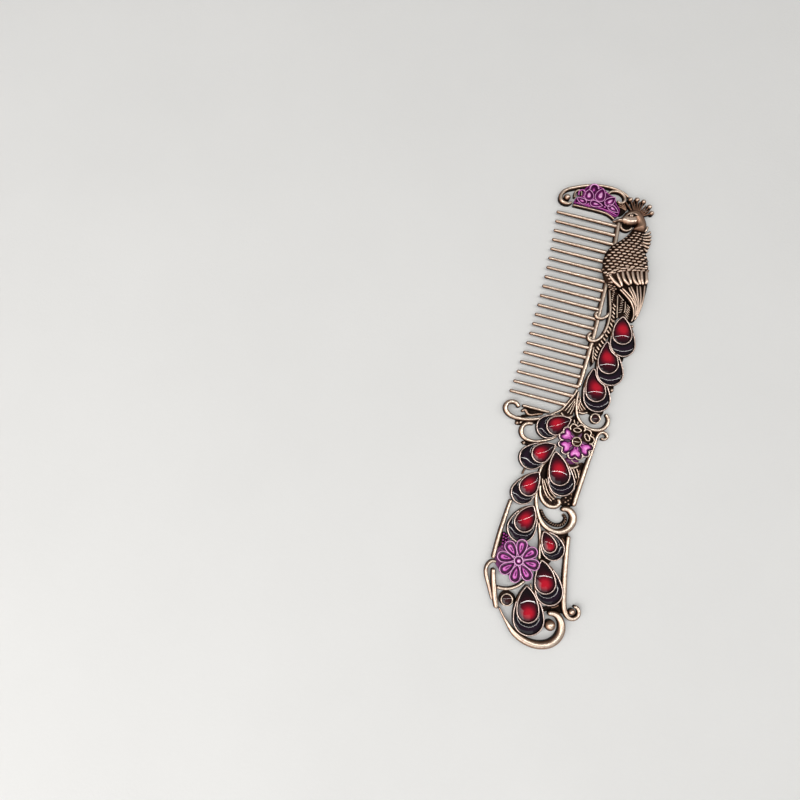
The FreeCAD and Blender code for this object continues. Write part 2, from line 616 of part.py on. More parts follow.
def casting_web():
    """The thin web of the casting, which closes the small gaps between its ornaments."""
    gaps = (
        [(-12.6, -8.0), (-12.0, -7.1), (-8.0, -7.1), (-3.6, -7.1), (-5.2, -8.0), (-8.0, -8.8),
         (-10.6, -9.0)],
        [(-12.6, -10.4), (-10.6, -9.6), (-8.0, -9.2), (-6.4, -9.2), (-8.4, -10.7), (-11.0, -11.3)],
        [(-14.4, -12.6), (-13.4, -14.4), (-10.0, -13.0), (-6.2, -12.0), (-4.0, -9.8),
         (-9.0, -11.4)],
        [(5.0, -6.8), (7.0, -5.8), (9.0, -8.2), (12.8, -9.6), (16.2, -9.4), (15.4, -12.8),
         (11.4, -11.2), (6.0, -10.4)],
        [(8.6, -25.2), (13.4, -22.0), (13.2, -30.0), (12.6, -37.8), (8.4, -38.6), (8.0, -36.2),
         (11.0, -34.0), (11.2, -29.0)],
        [(0.4, -24.0), (1.4, -28.0), (2.4, -33.0), (5.4, -36.2), (0.8, -33.8), (-1.2, -30.0)],
        [(-10.4, -20.0), (-8.6, -19.0), (-3.0, -18.6), (-4.6, -20.4), (-7.6, -21.0)],
        [(3.4, -48.2), (8.0, -48.6), (12.6, -47.0), (13.4, -50.0), (12.6, -52.4), (9.6, -51.2),
         (6.0, -50.2)],
        [(4.6, -57.6), (6.4, -57.0), (9.2, -58.4), (7.6, -60.4), (5.6, -60.0)],
        [(7.6, -73.4), (12.0, -73.2), (15.6, -70.4), (17.0, -74.6), (12.0, -75.0), (9.8, -75.8)],
        [(-10.3, -53.6), (-8.6, -53.0), (-7.4, -55.4), (-8.8, -60.0), (-10.2, -60.4)],
        [(16.2, 70.6), (18.0, 72.0), (18.6, 66.0), (18.0, 62.8), (16.6, 66.0)],
        [(5.6, 80.6), (9.4, 81.8), (9.0, 78.6), (6.6, 76.0), (5.2, 78.6)],
        [(-7.2, -29.4), (-5.2, -29.0), (-6.0, -31.6), (-7.6, -32.0)],
        [(15.4, 20.8), (19.6, 20.6), (18.8, 18.0), (17.0, 18.6)],
        [(14.4, 8.6), (18.2, 8.6), (17.6, 6.0), (15.6, 6.4)],
        [(11.0, -2.6), (16.4, -1.8), (15.6, -3.8), (12.0, -3.8)],
        [(-5.8, -74.6), (-2.6, -72.2), (-0.4, -73.4), (-1.2, -76.8), (-4.4, -77.2)],
    )
    for gap in gaps:
        add("casting_web", slab(outline(gap), 0, WEB_TOP), whole=True)


def main():
    main_scrolls()
    teeth()
    bird()
    top_guard()
    lotus()
    plumage()
    flowers()
    tail_wires()
    side_scrolls()
    rails()
    end_ornament()
    cabochons()
    drops()
    leaf_fans()
    tail_web()
    trim_studs()
    casting_web()
    box = FreeCAD.BoundBox()
    for solids in pieces.values():
        for solid in solids:
            box.add(solid.optimalBoundingBox(False))
    shift = Vector(-box.Center.x, -box.Center.y, 0)
    os.makedirs("parts", exist_ok=True)
    for name, solids in sorted(pieces.items()):
        shape = solids[0] if len(solids) == 1 else Part.makeCompound(solids)
        shape.translate(shift)
        shape.exportStep(os.path.join("parts", f"{name}.step"))
    print(len(pieces), "nodes; size", box.XLength, box.YLength, box.ZLength, "shift", shift)


main()
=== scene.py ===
"""Looks of the peacock comb: antique copper wires, ruby and aubergine enamel, orchid lacquer.

Shapes are given in the comb's design millimetres: +Y towards the bird, teeth towards -X, the
decorated face up. world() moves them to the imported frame.
"""
import math
import random

import bpy
import numpy as np
from mathutils import Matrix, Quaternion, Vector
from mathutils.geometry import delaunay_2d_cdt

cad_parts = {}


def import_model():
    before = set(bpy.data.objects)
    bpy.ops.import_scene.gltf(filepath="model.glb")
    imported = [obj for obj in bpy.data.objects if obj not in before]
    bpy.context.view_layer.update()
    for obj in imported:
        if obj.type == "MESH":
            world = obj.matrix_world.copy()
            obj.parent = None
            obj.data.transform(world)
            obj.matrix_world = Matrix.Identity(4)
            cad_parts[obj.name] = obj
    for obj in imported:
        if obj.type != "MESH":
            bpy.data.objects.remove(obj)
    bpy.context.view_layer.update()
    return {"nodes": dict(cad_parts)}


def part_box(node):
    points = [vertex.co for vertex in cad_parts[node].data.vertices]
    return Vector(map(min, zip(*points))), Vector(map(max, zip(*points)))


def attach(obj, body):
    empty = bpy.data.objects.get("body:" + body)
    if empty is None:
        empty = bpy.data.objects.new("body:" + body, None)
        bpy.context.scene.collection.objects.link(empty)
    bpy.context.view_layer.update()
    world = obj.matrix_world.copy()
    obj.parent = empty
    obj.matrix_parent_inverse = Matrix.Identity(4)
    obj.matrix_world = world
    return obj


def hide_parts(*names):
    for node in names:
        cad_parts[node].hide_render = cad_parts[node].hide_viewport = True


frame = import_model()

# ---- the design frame ----
STONES_LOW = (-4.8, -76.9)  # the lowest corner of the two cabochons
SHIFT = np.array(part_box("cabochons")[0][:2]) * 1000 - STONES_LOW

# ---- sizes that several pieces share (mm) ----
WIRE_WALL = 1.35
SPINE_WALL = 1.5
PLATE_TOP = 1.3
ENAMEL_EDGE = 2.12
RUBY_RISE = 1.05
CRESCENT_RISE = 0.5
RIM_W = 0.40
RIM_BASE = 2.1
BIRD_EDGE = 2.4
BIRD_RISE = 1.5
BIRD_REACH = 3.8
SPINE_RIGHT_X = 8.25
TEARDROP_STEP = 0.2  # between an outline's points
NODE_STEP = 0.25
CREASE_DEG = 50  # a sharper edge than this stays sharp
CROWN_STEPS = 9  # points over a wire's crown
FILM_POWER = 0.8  # under 1 makes a poured dome fuller at its edge


def world(points):
    """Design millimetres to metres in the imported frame."""
    points = np.array(points, float)
    points[:, :2] += SHIFT
    return points / 1000


# ---- curves ----
def run_of(line):
    """How far along a line, seen in plan, each of its points lies."""
    return np.append(0, np.cumsum(np.linalg.norm(np.diff(line[:, :2], axis=0), axis=1)))


def spline(stops, step):
    """A natural cubic through the stops, at about even steps along its first two columns."""
    stops = np.array(stops, float)
    n = len(stops)
    knots = run_of(stops)
    h = np.diff(knots)
    system, right = np.eye(n), np.zeros_like(stops)
    for i in range(1, n - 1):
        system[i, i - 1 : i + 2] = h[i - 1], 2 * (h[i - 1] + h[i]), h[i]
        right[i] = 6 * ((stops[i + 1] - stops[i]) / h[i] - (stops[i] - stops[i - 1]) / h[i - 1])
    bend = np.linalg.solve(system, right)
    t = np.linspace(0, knots[-1], max(4, int(knots[-1] / step) * 4))
    k = np.clip(np.searchsorted(knots, t, side="right") - 1, 0, n - 2)
    a, b = ((knots[k + 1] - t) / h[k])[:, None], ((t - knots[k]) / h[k])[:, None]
    square = (h[k] ** 2)[:, None] / 6
    fine = a * stops[k] + b * stops[k + 1]
    fine += ((a**3 - a) * bend[k] + (b**3 - b) * bend[k + 1]) * square
    return resampled(fine, step)


def resampled(line, step):
    """The same line with even steps."""
    run = run_of(line)
    at = np.linspace(0, run[-1], max(3, int(round(run[-1] / step)) + 1))
    return np.stack([np.interp(at, run, column) for column in line.T], 1)


def closed(runs, step=0.3):
    """A closed outline from smooth runs that share their ends."""
    return np.vstack([spline(run, step)[:-1] for run in runs])


def tangents(line, ring=False):
    """Unit directions along a line, or round a closed one."""
    if ring:
        along = np.roll(line, -1, 0) - np.roll(line, 1, 0)
    else:
        along = np.gradient(line, axis=0)
    return along / np.maximum(np.linalg.norm(along, axis=1, keepdims=True), 1e-9)


def even(points, width):
    """A route of one width."""
    return [(x, y, width) for x, y in points]


def around(centre, angle, reach):
    """The point at a bearing and a distance from a centre."""
    turn = math.radians(angle)
    return (centre[0] + reach * math.cos(turn), centre[1] + reach * math.sin(turn))


def teardrop(tip, foot, width):
    """A pear-shaped outline from its pointed tip round its foot."""
    tip, foot = np.array(tip, float), np.array(foot, float)
    along = (foot - tip) / np.linalg.norm(foot - tip)
    across = np.array([-along[1], along[0]])
    radius = width / 2
    centre = foot - along * radius
    reach = np.linalg.norm(centre - tip)
    bow = (reach**2 + radius**2) / (2 * radius)
    sweep = math.atan2(reach, bow - radius)
    count = max(5, int(bow * sweep / TEARDROP_STEP))
    side = np.linspace(sweep, 0, count)
    u = np.concatenate([
        -bow * np.sin(side),
        radius * np.sin(np.linspace(0, math.pi, count + 1)[1:-1]),
        -bow * np.sin(side[::-1]),
    ])
    v = np.concatenate([
        radius - bow + bow * np.cos(side),
        radius * np.cos(np.linspace(0, math.pi, count + 1)[1:-1]),
        bow - radius - bow * np.cos(side[::-1]),
    ])
    return centre + u[:-1, None] * along + v[:-1, None] * across


def oval(x, y, angle, long_half, short_half, count=36):
    """An ellipse whose long axis lies at an angle."""
    turn, t = math.radians(angle), np.linspace(0, 2 * math.pi, count, endpoint=False)
    u, v = long_half * np.cos(t), short_half * np.sin(t)
    return np.stack([
        x + u * math.cos(turn) - v * math.sin(turn),
        y + u * math.sin(turn) + v * math.cos(turn),
    ], 1)


def area(loop):
    """A loop's area, positive when it runs anticlockwise."""
    x, y = loop.T
    return 0.5 * np.sum(x * np.roll(y, -1) - y * np.roll(x, -1))


def grown(loop, by):
    """A loop moved outwards."""
    along = tangents(loop, ring=True)
    outwards = np.stack([along[:, 1], -along[:, 0]], 1) * math.copysign(1, area(loop))
    return loop + outwards * by


def depth_in(loop, points):
    """How far each point lies inside a loop: negative outside it."""
    points = np.atleast_2d(points)
    a, b = loop, np.roll(loop, -1, 0)
    d = b - a
    p = points[:, None] - a[None]
    t = np.clip((p * d).sum(2) / np.maximum((d * d).sum(1), 1e-12), 0, 1)
    far = np.linalg.norm(p - t[..., None] * d, axis=2).min(1)
    y = points[:, 1][:, None]
    crosses = (a[:, 1] > y) != (b[:, 1] > y)
    slope = np.where(np.abs(d[:, 1]) < 1e-12, 1e-12, d[:, 1])
    hit = a[:, 0] + (y - a[:, 1]) * d[:, 0] / slope
    inside = (crosses & (points[:, 0][:, None] < hit)).sum(1) % 2 == 1
    return np.where(inside, far, -far)


# ---- meshes ----
def placed(name, data):
    """A new object in the scene."""
    piece = bpy.data.objects.new(name, data)
    bpy.context.scene.collection.objects.link(piece)
    return piece


class Skin:
    """Vertices, faces and a glow from 0 to 1 at each vertex, in design millimetres. The glow lifts a
    vertex along its material's tone ramp: for some parts this is their own tone, for others a painted
    highlight or a painted glow of light.
    """

    def __init__(self):
        self.points, self.glow, self.faces, self.count = [], [], [], 0

    def patch(self, points, faces, glow=1.0):
        """Adds a patch, turned so that it faces outwards."""
        points, faces = np.asarray(points, float), [list(f) for f in faces]
        base = np.array([*points[:, :2].mean(0), points[:, 2].min()])
        volume = 0.0
        for face in faces:
            corner = points[face] - base
            for i in range(1, len(face) - 1):
                volume += np.dot(corner[0], np.cross(corner[i], corner[i + 1]))
        if volume < 0:
            faces = [face[::-1] for face in faces]
        self.points.append(points)
        self.glow.append(np.broadcast_to(glow, (len(points),)).astype(float))
        self.faces += [[i + self.count for i in face] for face in faces]
        self.count += len(points)

    def grid(self, rows, ring=True, loop=False, glow=1.0):
        """Adds a skin over rows of points: ring closes each row, loop joins last row to first."""
        rows = np.asarray(rows, float)
        n, m = rows.shape[:2]
        index = np.arange(n * m).reshape(n, m)
        if ring:
            index = np.hstack([index, index[:, :1]])
        if loop:
            index = np.vstack([index, index[:1]])
        quads = np.stack([index[:-1, :-1], index[:-1, 1:], index[1:, 1:], index[1:, :-1]], -1)
        self.patch(rows.reshape(-1, 3), quads.reshape(-1, 4).tolist(), glow)

    def build(self, name, material, nodes=(), slot=None):
        """Makes the object, seats it on the comb and lets it stand for its CAD nodes."""
        mesh = bpy.data.meshes.new(name)
        mesh.from_pydata(world(np.vstack(self.points)).tolist(), [], self.faces)
        glow = mesh.attributes.new("glow", "FLOAT", "POINT")
        glow.data.foreach_set("value", np.concatenate(self.glow).astype(np.float32))
        mesh.polygons.foreach_set("use_smooth", [True] * len(mesh.polygons))
        mesh.set_sharp_from_angle(angle=math.radians(CREASE_DEG))
        mesh.materials.append(material)
        piece = placed(name, mesh)
        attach(piece, "root")
        if nodes:
            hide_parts(*nodes)


def section(width, wall, crown=1.0):
    """A half-round wire's section as (across, up) pairs, and where it stands on the crown."""
    turn = np.linspace(0, math.pi, CROWN_STEPS)
    half = width / 2
    across = np.concatenate([[half], half * np.cos(turn), [-half]])
    up = np.concatenate([[0], wall + half * crown * np.sin(turn), [0]])
    return np.stack([across, up], 1)


def wire(skin, route, wall=WIRE_WALL, base=0.0, step=0.35, crown=1.0, glow=1.0):
    """A half-round wire through (x, y, width) stops, both ends rounded off."""
    line = spline(route, step)
    run = run_of(line)
    total = run[-1]
    first, last = line[0, 2] / 2, line[-1, 2] / 2
    bend = 1 - np.cos(np.radians([0, 15, 30, 45, 60, 75, 90]))
    middle = run[(run > first * 1.1) & (run < total - last * 1.1)]
    at = np.concatenate([first * bend, middle, total - last * bend[::-1]])
    share = np.sqrt(np.clip(1 - np.clip(1 - at / first, 0, 1) ** 2, 0.0004, 1))
    share *= np.sqrt(np.clip(1 - np.clip(1 - (total - at) / last, 0, 1) ** 2, 0.0004, 1))
    x, y, width = (np.interp(at, run, column) for column in line.T)
    along = np.stack([np.interp(at, run, column) for column in tangents(line[:, :2]).T], 1)
    under = base(np.stack([x, y], 1)) if callable(base) else np.full(len(x), base)
    rows = []
    for px, py, w, s, (tx, ty), b in zip(x, y, width, share, along, under):
        shape = section(w * s, wall, crown)
        rows.append([(px - ty * u, py + tx * u, b + v) for u, v in shape])
    skin.grid(rows, glow=glow)


def hoop(skin, loop, width, base, wall, glow=1.0):
    """A half-round wire bent along a closed outline."""
    along = tangents(loop, ring=True)
    shape = section(width, wall)
    rows = [
        [(px - ty * u, py + tx * u, base + v) for u, v in shape]
        for (px, py), (tx, ty) in zip(loop, along)
    ]
    skin.grid(rows, loop=True, glow=glow)


def profile(depth, rise, reach):
    """A cushion's height above its edge at a depth inside it."""
    t = np.clip(depth / reach, 0, 1)
    return rise * (1 - (1 - t) ** 2)


def film(faces, depth):
    """A soap film's height over a flat mesh, 0 on its edge and 1 at its top."""
    count = len(depth)
    system = np.eye(count)
    load = np.zeros(count)
    beside = [set() for _ in range(count)]
    for face in faces:
        for a, b in zip(face, face[1:] + face[:1]):
            beside[a].add(b)
            beside[b].add(a)
    for index, others in enumerate(beside):
        if depth[index] > 0 and others:
            system[index, list(others)] = -1 / len(others)
            load[index] = 1.0
    height = np.maximum(np.linalg.solve(system, load), 0)
    return (height / height.max()) ** FILM_POWER


def filled(loop, grid, clear):
    """A flat mesh inside an outline: its points, their depths, its faces and its rim."""
    grid = grid.reshape(-1, 2)
    grid = grid[depth_in(loop, grid) > clear]
    rim = [(i, (i + 1) % len(loop)) for i in range(len(loop))]
    found = delaunay_2d_cdt([Vector(p) for p in np.vstack([loop, grid])], rim, [], 1, 1e-5)
    flat = np.array([tuple(v) for v in found[0]])
    return flat, np.maximum(depth_in(loop, flat), 0), [list(face) for face in found[2]], rim


def dome(skin, loop, edge, rise, reach, bottom=None, cell=0.4, glow=1.0, poured=False):
    """A cushion over an outline, its edge at one height and a wall down to the bottom.

    glow is a number, or a function of the points and how deep they lie inside the outline.
    """
    loop = np.asarray(loop, float)
    low, high = loop.min(0), loop.max(0)
    grid = np.stack(np.meshgrid(
        np.arange(low[0], high[0], cell), np.arange(low[1], high[1], cell * 0.87)
    ), -1)
    grid[1::2, :, 0] += cell / 2
    flat, depth, faces, rim = filled(loop, grid, cell * 0.45)
    depth[depth < 1e-3] = 0
    if poured:
        height = edge + rise * film(faces, depth)
    else:
        height = edge + profile(depth, rise, reach)
    points = np.column_stack([flat, height])
    shine = glow(flat, depth) if callable(glow) else glow
    if bottom is not None:
        wall = [(*p, b) for p, b in zip(loop, np.broadcast_to(bottom, (len(loop),)))]
        offset = len(points)
        points = np.vstack([points, wall])
        nearest = [int(np.argmin(((flat - p) ** 2).sum(1))) for p in loop]
        for i, j in rim:
            if nearest[i] != nearest[j]:
                faces.append([nearest[j], nearest[i], offset + i, offset + j])
        shine = np.append(np.broadcast_to(shine, (offset,)), np.zeros(len(loop)))
    skin.patch(points, turned_up(points, faces), shine)


def turned_up(points, faces):
    """Cushion faces with their corners in one order, seen from above or from outside."""
    a = points[[f[0] for f in faces]]
    b = points[[f[1] for f in faces]]
    c = points[[f[2] for f in faces]]
    up = np.cross(b - a, c - a)[:, 2]
    return [f[::-1] if u < -1e-9 else f for f, u in zip(faces, up)]


def draped(skin, loop, ground, lift, rise):
    """A thin cushion laid on a curved ground."""
    low, high = loop.min(0), loop.max(0)
    cell = 0.2
    grid = np.stack(np.meshgrid(np.arange(low[0], high[0], cell), np.arange(low[1], high[1], cell)), -1)
    flat, depth, faces, _ = filled(loop, grid, cell / 2)
    points = np.column_stack([flat, ground(flat) + lift + profile(depth, rise, 0.5)])
    skin.patch(points, turned_up(points, faces))


def bump(skin, x, y, z, angle, length, width, height):
    """A small raised dash with pointed ends: one scale of the plumage or one tick."""
    turn = math.radians(angle)
    rows = []
    for u in np.linspace(-1, 1, 9):
        half = width / 2 * math.sqrt(max(0.0, 1 - u * u)) + 0.01
        row = []
        for v in np.linspace(-1, 1, 7):
            rise = height * max(0.0, 1 - u * u) ** 0.5 * (1 - v * v) ** 0.5
            du, dv = u * length / 2, v * half
            row.append((
                x + du * math.cos(turn) - dv * math.sin(turn),
                y + du * math.sin(turn) + dv * math.cos(turn),
                z + rise,
            ))
        rows.append(row)
    skin.grid(rows, ring=False)


def ball(skin, x, y, radius, centre_z, glow=1.0):
    """A domed pin: a ball on a shank of its own width."""
    rise = np.linspace(0, math.pi / 2, 9)
    rings = [(radius, 0.0)] + [(radius * math.cos(t), centre_z + radius * math.sin(t)) for t in rise]
    turn = np.linspace(0, 2 * math.pi, 24, endpoint=False)
    rows = [
        [(x + max(r, 0.002) * math.cos(a), y + max(r, 0.002) * math.sin(a), z) for a in turn]
        for r, z in rings
    ]
    skin.grid(rows, glow=glow)


def node_loops(node):
    """The outlines of a CAD node's flat top faces, in design millimetres."""
    mesh = frame["nodes"][node].data
    points = np.array([v.co for v in mesh.vertices]) * 1000
    points[:, :2] -= SHIFT
    keys, index = np.unique(points.round(4), axis=0, return_inverse=True)
    index = index.ravel()
    top = keys[:, 2].max() - 0.01
    once = {}
    for face in mesh.polygons:
        ring = [int(index[v]) for v in face.vertices]
        if min(keys[v, 2] for v in ring) > top:
            for a, b in zip(ring, ring[1:] + ring[:1]):
                if once.pop((b, a), None) is None:
                    once[(a, b)] = True
    follow = {a: b for a, b in once}
    loops = []
    while follow:
        start, at = next(iter(follow.items()))
        ring = [start]
        del follow[start]
        while at != start and at in follow:
            ring.append(at)
            at = follow.pop(at)
        line = keys[ring + [start]][:, :2]
        loops.append(resampled(line, NODE_STEP)[:-1])
    return sorted(loops, key=lambda loop: -abs(area(loop)))


# ---- materials ----
def ramp(tree, value, stops):
    """A colour ramp node over (position, linear colour) stops."""
    node = tree.nodes.new("ShaderNodeValToRGB")
    tree.links.new(value, node.inputs["Fac"])
    band = node.color_ramp
    while len(band.elements) < len(stops):
        band.elements.new(0.5)
    for element, (at, colour) in zip(band.elements, stops):
        element.position = at
        element.color = (*colour, 1.0)
    return node.outputs["Color"]


def grey(value):
    return (value, value, value)


def math_node(tree, kind, a, b, clamp=False):
    node = tree.nodes.new("ShaderNodeMath")
    node.operation = kind
    node.use_clamp = clamp
    for socket, value in zip(node.inputs, (a, b)):
        if isinstance(value, float):
            socket.default_value = value
        else:
            tree.links.new(value, socket)
    return node.outputs["Value"]


def noise(tree, scale, detail=3.0):
    place = tree.nodes.new("ShaderNodeNewGeometry").outputs["Position"]
    node = tree.nodes.new("ShaderNodeTexNoise")
    node.inputs["Scale"].default_value = scale
    node.inputs["Detail"].default_value = detail
    node.inputs["Roughness"].default_value = 0.55
    tree.links.new(place, node.inputs["Vector"])
    return node.outputs["Fac"]


def mottled(tree, value, scale, share, detail=3.0):
    """A value with noise worked into it, kept between 0 and 1."""
    mottle = math_node(tree, "SUBTRACT", noise(tree, scale, detail), 0.5)
    return math_node(tree, "ADD", value, math_node(tree, "MULTIPLY", mottle, share), clamp=True)


def glow_of(tree):
    """The glow that each vertex carries."""
    node = tree.nodes.new("ShaderNodeAttribute")
    node.attribute_name = "glow"
    return node.outputs["Fac"]


def bumped(tree, shader, height, distance):
    """Fine relief on a shader, its distance in metres."""
    node = tree.nodes.new("ShaderNodeBump")
    node.inputs["Distance"].default_value = distance
    node.inputs["Strength"].default_value = 1.0
    tree.links.new(height, node.inputs["Height"])
    tree.links.new(node.outputs["Normal"], shader.inputs["Normal"])


def surface(name):
    material = bpy.data.materials.new(name)
    material.use_nodes = True
    tree = material.node_tree
    return material, tree, tree.nodes["Principled BSDF"]


def share_between(tree, value, low, high):
    """0 at or under low, 1 at or over high."""
    node = tree.nodes.new("ShaderNodeMapRange")
    node.inputs["From Min"].default_value = low
    node.inputs["From Max"].default_value = high
    tree.links.new(value, node.inputs["Value"])
    return node.outputs["Result"]


def worn_crowns_and_highlight(tree, dark_below, bright_above, up_from, up_share):
    """0 low down and on the flanks, 1 on the high crowns that face up; heights in millimetres. Partly
    real, for the worn crowns and the oxide in the hollows, and partly painted light: a highlight on
    whatever faces up, and shade on the flanks and in the recesses.
    """
    geometry = tree.nodes.new("ShaderNodeNewGeometry")
    place = tree.nodes.new("ShaderNodeSeparateXYZ")
    facing = tree.nodes.new("ShaderNodeSeparateXYZ")
    tree.links.new(geometry.outputs["Position"], place.inputs[0])
    tree.links.new(geometry.outputs["Normal"], facing.inputs[0])
    height = share_between(tree, place.outputs["Z"], dark_below / 1000, bright_above / 1000)
    up = share_between(tree, facing.outputs["Z"], up_from, up_share)
    return math_node(tree, "MULTIPLY", height, up)


def copper(name, dark_below, bright_above, up_share, own_glow, tones, mottling=0.4, up_from=0.35):
    """Antique plate: oxide in the recesses, deepened by painted shade there and on the flanks, a mid
    copper skin, and pale worn crowns with a painted highlight where they face up.
    """
    material, tree, shader = surface(name)
    # painted highlight on the up-facing crowns and painted shade on the flanks and low down, over the real
    # oxide in the hollows and the worn crowns
    wear_and_highlight = worn_crowns_and_highlight(tree, dark_below, bright_above, up_from, up_share)
    if own_glow:
        wear_and_highlight = math_node(tree, "MULTIPLY", wear_and_highlight, glow_of(tree))
    wear_and_highlight = mottled(tree, wear_and_highlight, 900.0, mottling)
    tree.links.new(ramp(tree, wear_and_highlight, tones), shader.inputs["Base Color"])
    shader.inputs["Metallic"].default_value = 0.9
    gloss = [(0.0, grey(0.62)), (0.5, grey(0.42)), (1.0, grey(0.30))]
    tree.links.new(ramp(tree, wear_and_highlight, gloss), shader.inputs["Roughness"])
    bumped(tree, shader, noise(tree, 3500.0, 4.0), 0.00006)
    return material


# The ramp runs from low and turned away to high and facing up: the dark tones are oxide with painted
# shade, and the pale tones up to CREAM are a painted highlight on the crowns.
OXIDE = (0.012, 0.006, 0.004)
BROWN = (0.060, 0.026, 0.014)
MID_COPPER = (0.27, 0.140, 0.088)
PALE_COPPER = (0.50, 0.31, 0.215)
CREAM = (1.0, 0.82, 0.67)

antique = copper("antique_copper", 0.4, 1.8, 0.985, True, [
    (0.0, OXIDE), (0.18, BROWN), (0.45, MID_COPPER), (0.78, PALE_COPPER), (1.0, CREAM),
], 0.35, 0.15)
oxidised = copper("oxidised_copper", 0.2, 2.0, 0.9, False, [
    (0.0, OXIDE), (0.5, (0.014, 0.007, 0.005)), (0.8, (0.030, 0.015, 0.010)),
    (1.0, (0.12, 0.06, 0.038)),
], 2.2)
rim_copper = copper("rim_copper", 1.5, 2.3, 0.75, False, [
    (0.0, BROWN), (0.4, MID_COPPER), (0.7, (0.62, 0.40, 0.31)), (1.0, (0.95, 0.76, 0.68)),
], 0.2)
oxide = copper("oxide", 4.0, 9.0, 0.9, False, [
    (0.0, OXIDE), (0.6, (0.02, 0.010, 0.007)), (1.0, BROWN),
])
plumage_copper = copper("plumage_copper", 1.2, 3.2, 0.92, True, [
    (0.0, OXIDE), (0.3, BROWN), (0.55, MID_COPPER), (0.78, PALE_COPPER), (1.0, (0.96, 0.74, 0.60)),
], 0.2)


def enamel(name, tones, coat_roughness):
    """Poured enamel under a clear coat, its colour set by each vertex's glow: darker towards the edge, and
    lighter where a glow of light is painted into it.
    """
    material, tree, shader = surface(name)
    value = mottled(tree, glow_of(tree), 420.0, 0.22, 4.0)
    tree.links.new(ramp(tree, value, tones), shader.inputs["Base Color"])
    shader.inputs["Roughness"].default_value = 0.3
    shader.inputs["Specular IOR Level"].default_value = 0.0
    shader.inputs["Coat Weight"].default_value = 1.0
    shader.inputs["Coat Roughness"].default_value = coat_roughness
    bumped(tree, shader, noise(tree, 160.0, 1.0), 0.00001)
    return material


ruby = enamel("ruby_enamel", [
    (0.0, (0.006, 0.001, 0.003)), (0.3, (0.050, 0.001, 0.007)), (0.65, (0.21, 0.002, 0.014)),
    (1.0, (0.54, 0.007, 0.024)),
], 0.02)
aubergine = enamel("aubergine_enamel", [
    (0.0, (0.002, 0.001, 0.003)), (0.6, (0.006, 0.002, 0.007)), (1.0, (0.016, 0.005, 0.015)),
], 0.02)
garnet = enamel("garnet_stone", [
    (0.0, (0.008, 0.003, 0.003)), (1.0, (0.050, 0.012, 0.013)),
], 0.03)


def lacquer(name, dark_below, bright_above):
    """Orchid lacquer over struck metal: deep magenta in the recesses and on the flanks, partly pooled
    lacquer and partly painted shade, and pearly pink on the raised rims as a painted highlight where they
    face up.
    """
    material, tree, shader = surface(name)
    # painted highlight on up-facing rims and painted shade on the flanks and low down, times each vertex's
    # glow
    wear_and_highlight = worn_crowns_and_highlight(tree, dark_below, bright_above, 0.35, 0.9)
    wear_and_highlight = mottled(tree, math_node(tree, "MULTIPLY", wear_and_highlight, glow_of(tree)), 1100.0, 0.4)
    tones = [
        (0.0, (0.050, 0.001, 0.040)), (0.35, (0.30, 0.012, 0.22)), (0.7, (0.70, 0.12, 0.54)),
        (1.0, (1.0, 0.62, 0.90)),
    ]
    tree.links.new(ramp(tree, wear_and_highlight, tones), shader.inputs["Base Color"])
    shader.inputs["Metallic"].default_value = 0.4
    shader.inputs["Roughness"].default_value = 0.42
    shader.inputs["Coat Weight"].default_value = 0.35
    shader.inputs["Coat Roughness"].default_value = 0.22
    bumped(tree, shader, noise(tree, 1800.0, 3.0), 0.00010)
    return material


orchid = lacquer("orchid_lacquer", 1.1, 2.9)
collet_copper = copper("collet_copper", 1.5, 4.2, 0.95, False, [
    (0.0, OXIDE), (0.22, BROWN), (0.55, MID_COPPER), (0.85, PALE_COPPER), (1.0, CREAM),
])


# ---- blade ----
TOOTH_COUNT = 20
TOOTH_PITCH = 3.885
FIRST_TOOTH_Y = 71.2
TOOTH_ROOT_R = 0.85
TOOTH_TIP_R = 0.6
TOOTH_AXIS_Z = 1.15
TOOTH_SIDES = 20
TOOTH_RINGS = 10
TIP_LINE_X = -16.2  # the tips lie on a shallow parabola that is furthest right at TIP_LINE_Y
TIP_LINE_Y = 42.0
TIP_LINE_BOW = 0.0014
GUARD = [
    (-14.2, -8.1, 1.4), (-15.1, -6.9, 1.5), (-16.8, -6.5, 1.6), (-18.5, -7.4, 1.7),
    (-19.0, -9.2, 1.8), (-17.8, -11.0, 1.7), (-14.8, -12.0, 1.5), (-11.4, -11.8, 1.3),
    (-7.6, -10.8, 1.2), (-4.4, -9.3, 1.1), (-1.4, -7.0, 1.0), (0.9, -5.0, 0.9),
    (2.8, -1.6, 0.8), (4.4, 1.8, 0.8), (5.1, 4.2, 0.8),
]
SPINE = even([
    (6.8, 74.0), (7.1, 67.5), (7.3, 60.0), (7.3, 50.0), (7.2, 44.0), (7.0, 36.0),
    (6.9, 29.0), (6.5, 21.0), (6.2, 15.0), (5.8, 9.5), (5.35, 4.9),
], 1.7)


def route_x(route, y):
    """Where a route that runs downwards crosses a height in the plan."""
    for (x0, y0, _), (x1, y1, _) in zip(route, route[1:]):
        if y1 <= y <= y0:
            return x0 + (x1 - x0) * (y0 - y) / (y0 - y1)


def teeth():
    """Round tapered teeth with rounded tips."""
    skin = Skin()
    turn = np.linspace(0, 2 * math.pi, TOOTH_SIDES, endpoint=False)
    bend = np.radians([75, 60, 45, 30, 15, 2])
    for index in range(TOOTH_COUNT):
        y = FIRST_TOOTH_Y - index * TOOTH_PITCH
        tip_x = TIP_LINE_X - TIP_LINE_BOW * (y - TIP_LINE_Y) ** 2
        root_x = route_x(SPINE if y > SPINE[-1][1] else GUARD[::-1], y)
        shoulder = tip_x + TOOTH_TIP_R
        x = np.linspace(root_x, shoulder, TOOTH_RINGS)
        r = np.linspace(TOOTH_ROOT_R, TOOTH_TIP_R, TOOTH_RINGS)
        x = np.append(x, shoulder - TOOTH_TIP_R * np.cos(bend))
        r = np.append(r, TOOTH_TIP_R * np.sin(bend))
        rows = [
            [(a, y + b * math.cos(t), TOOTH_AXIS_Z + b * math.sin(t)) for t in turn]
            for a, b in zip(x, r)
        ]
        skin.grid(rows)
    skin.build("teeth_fine", antique, ["comb_teeth"])


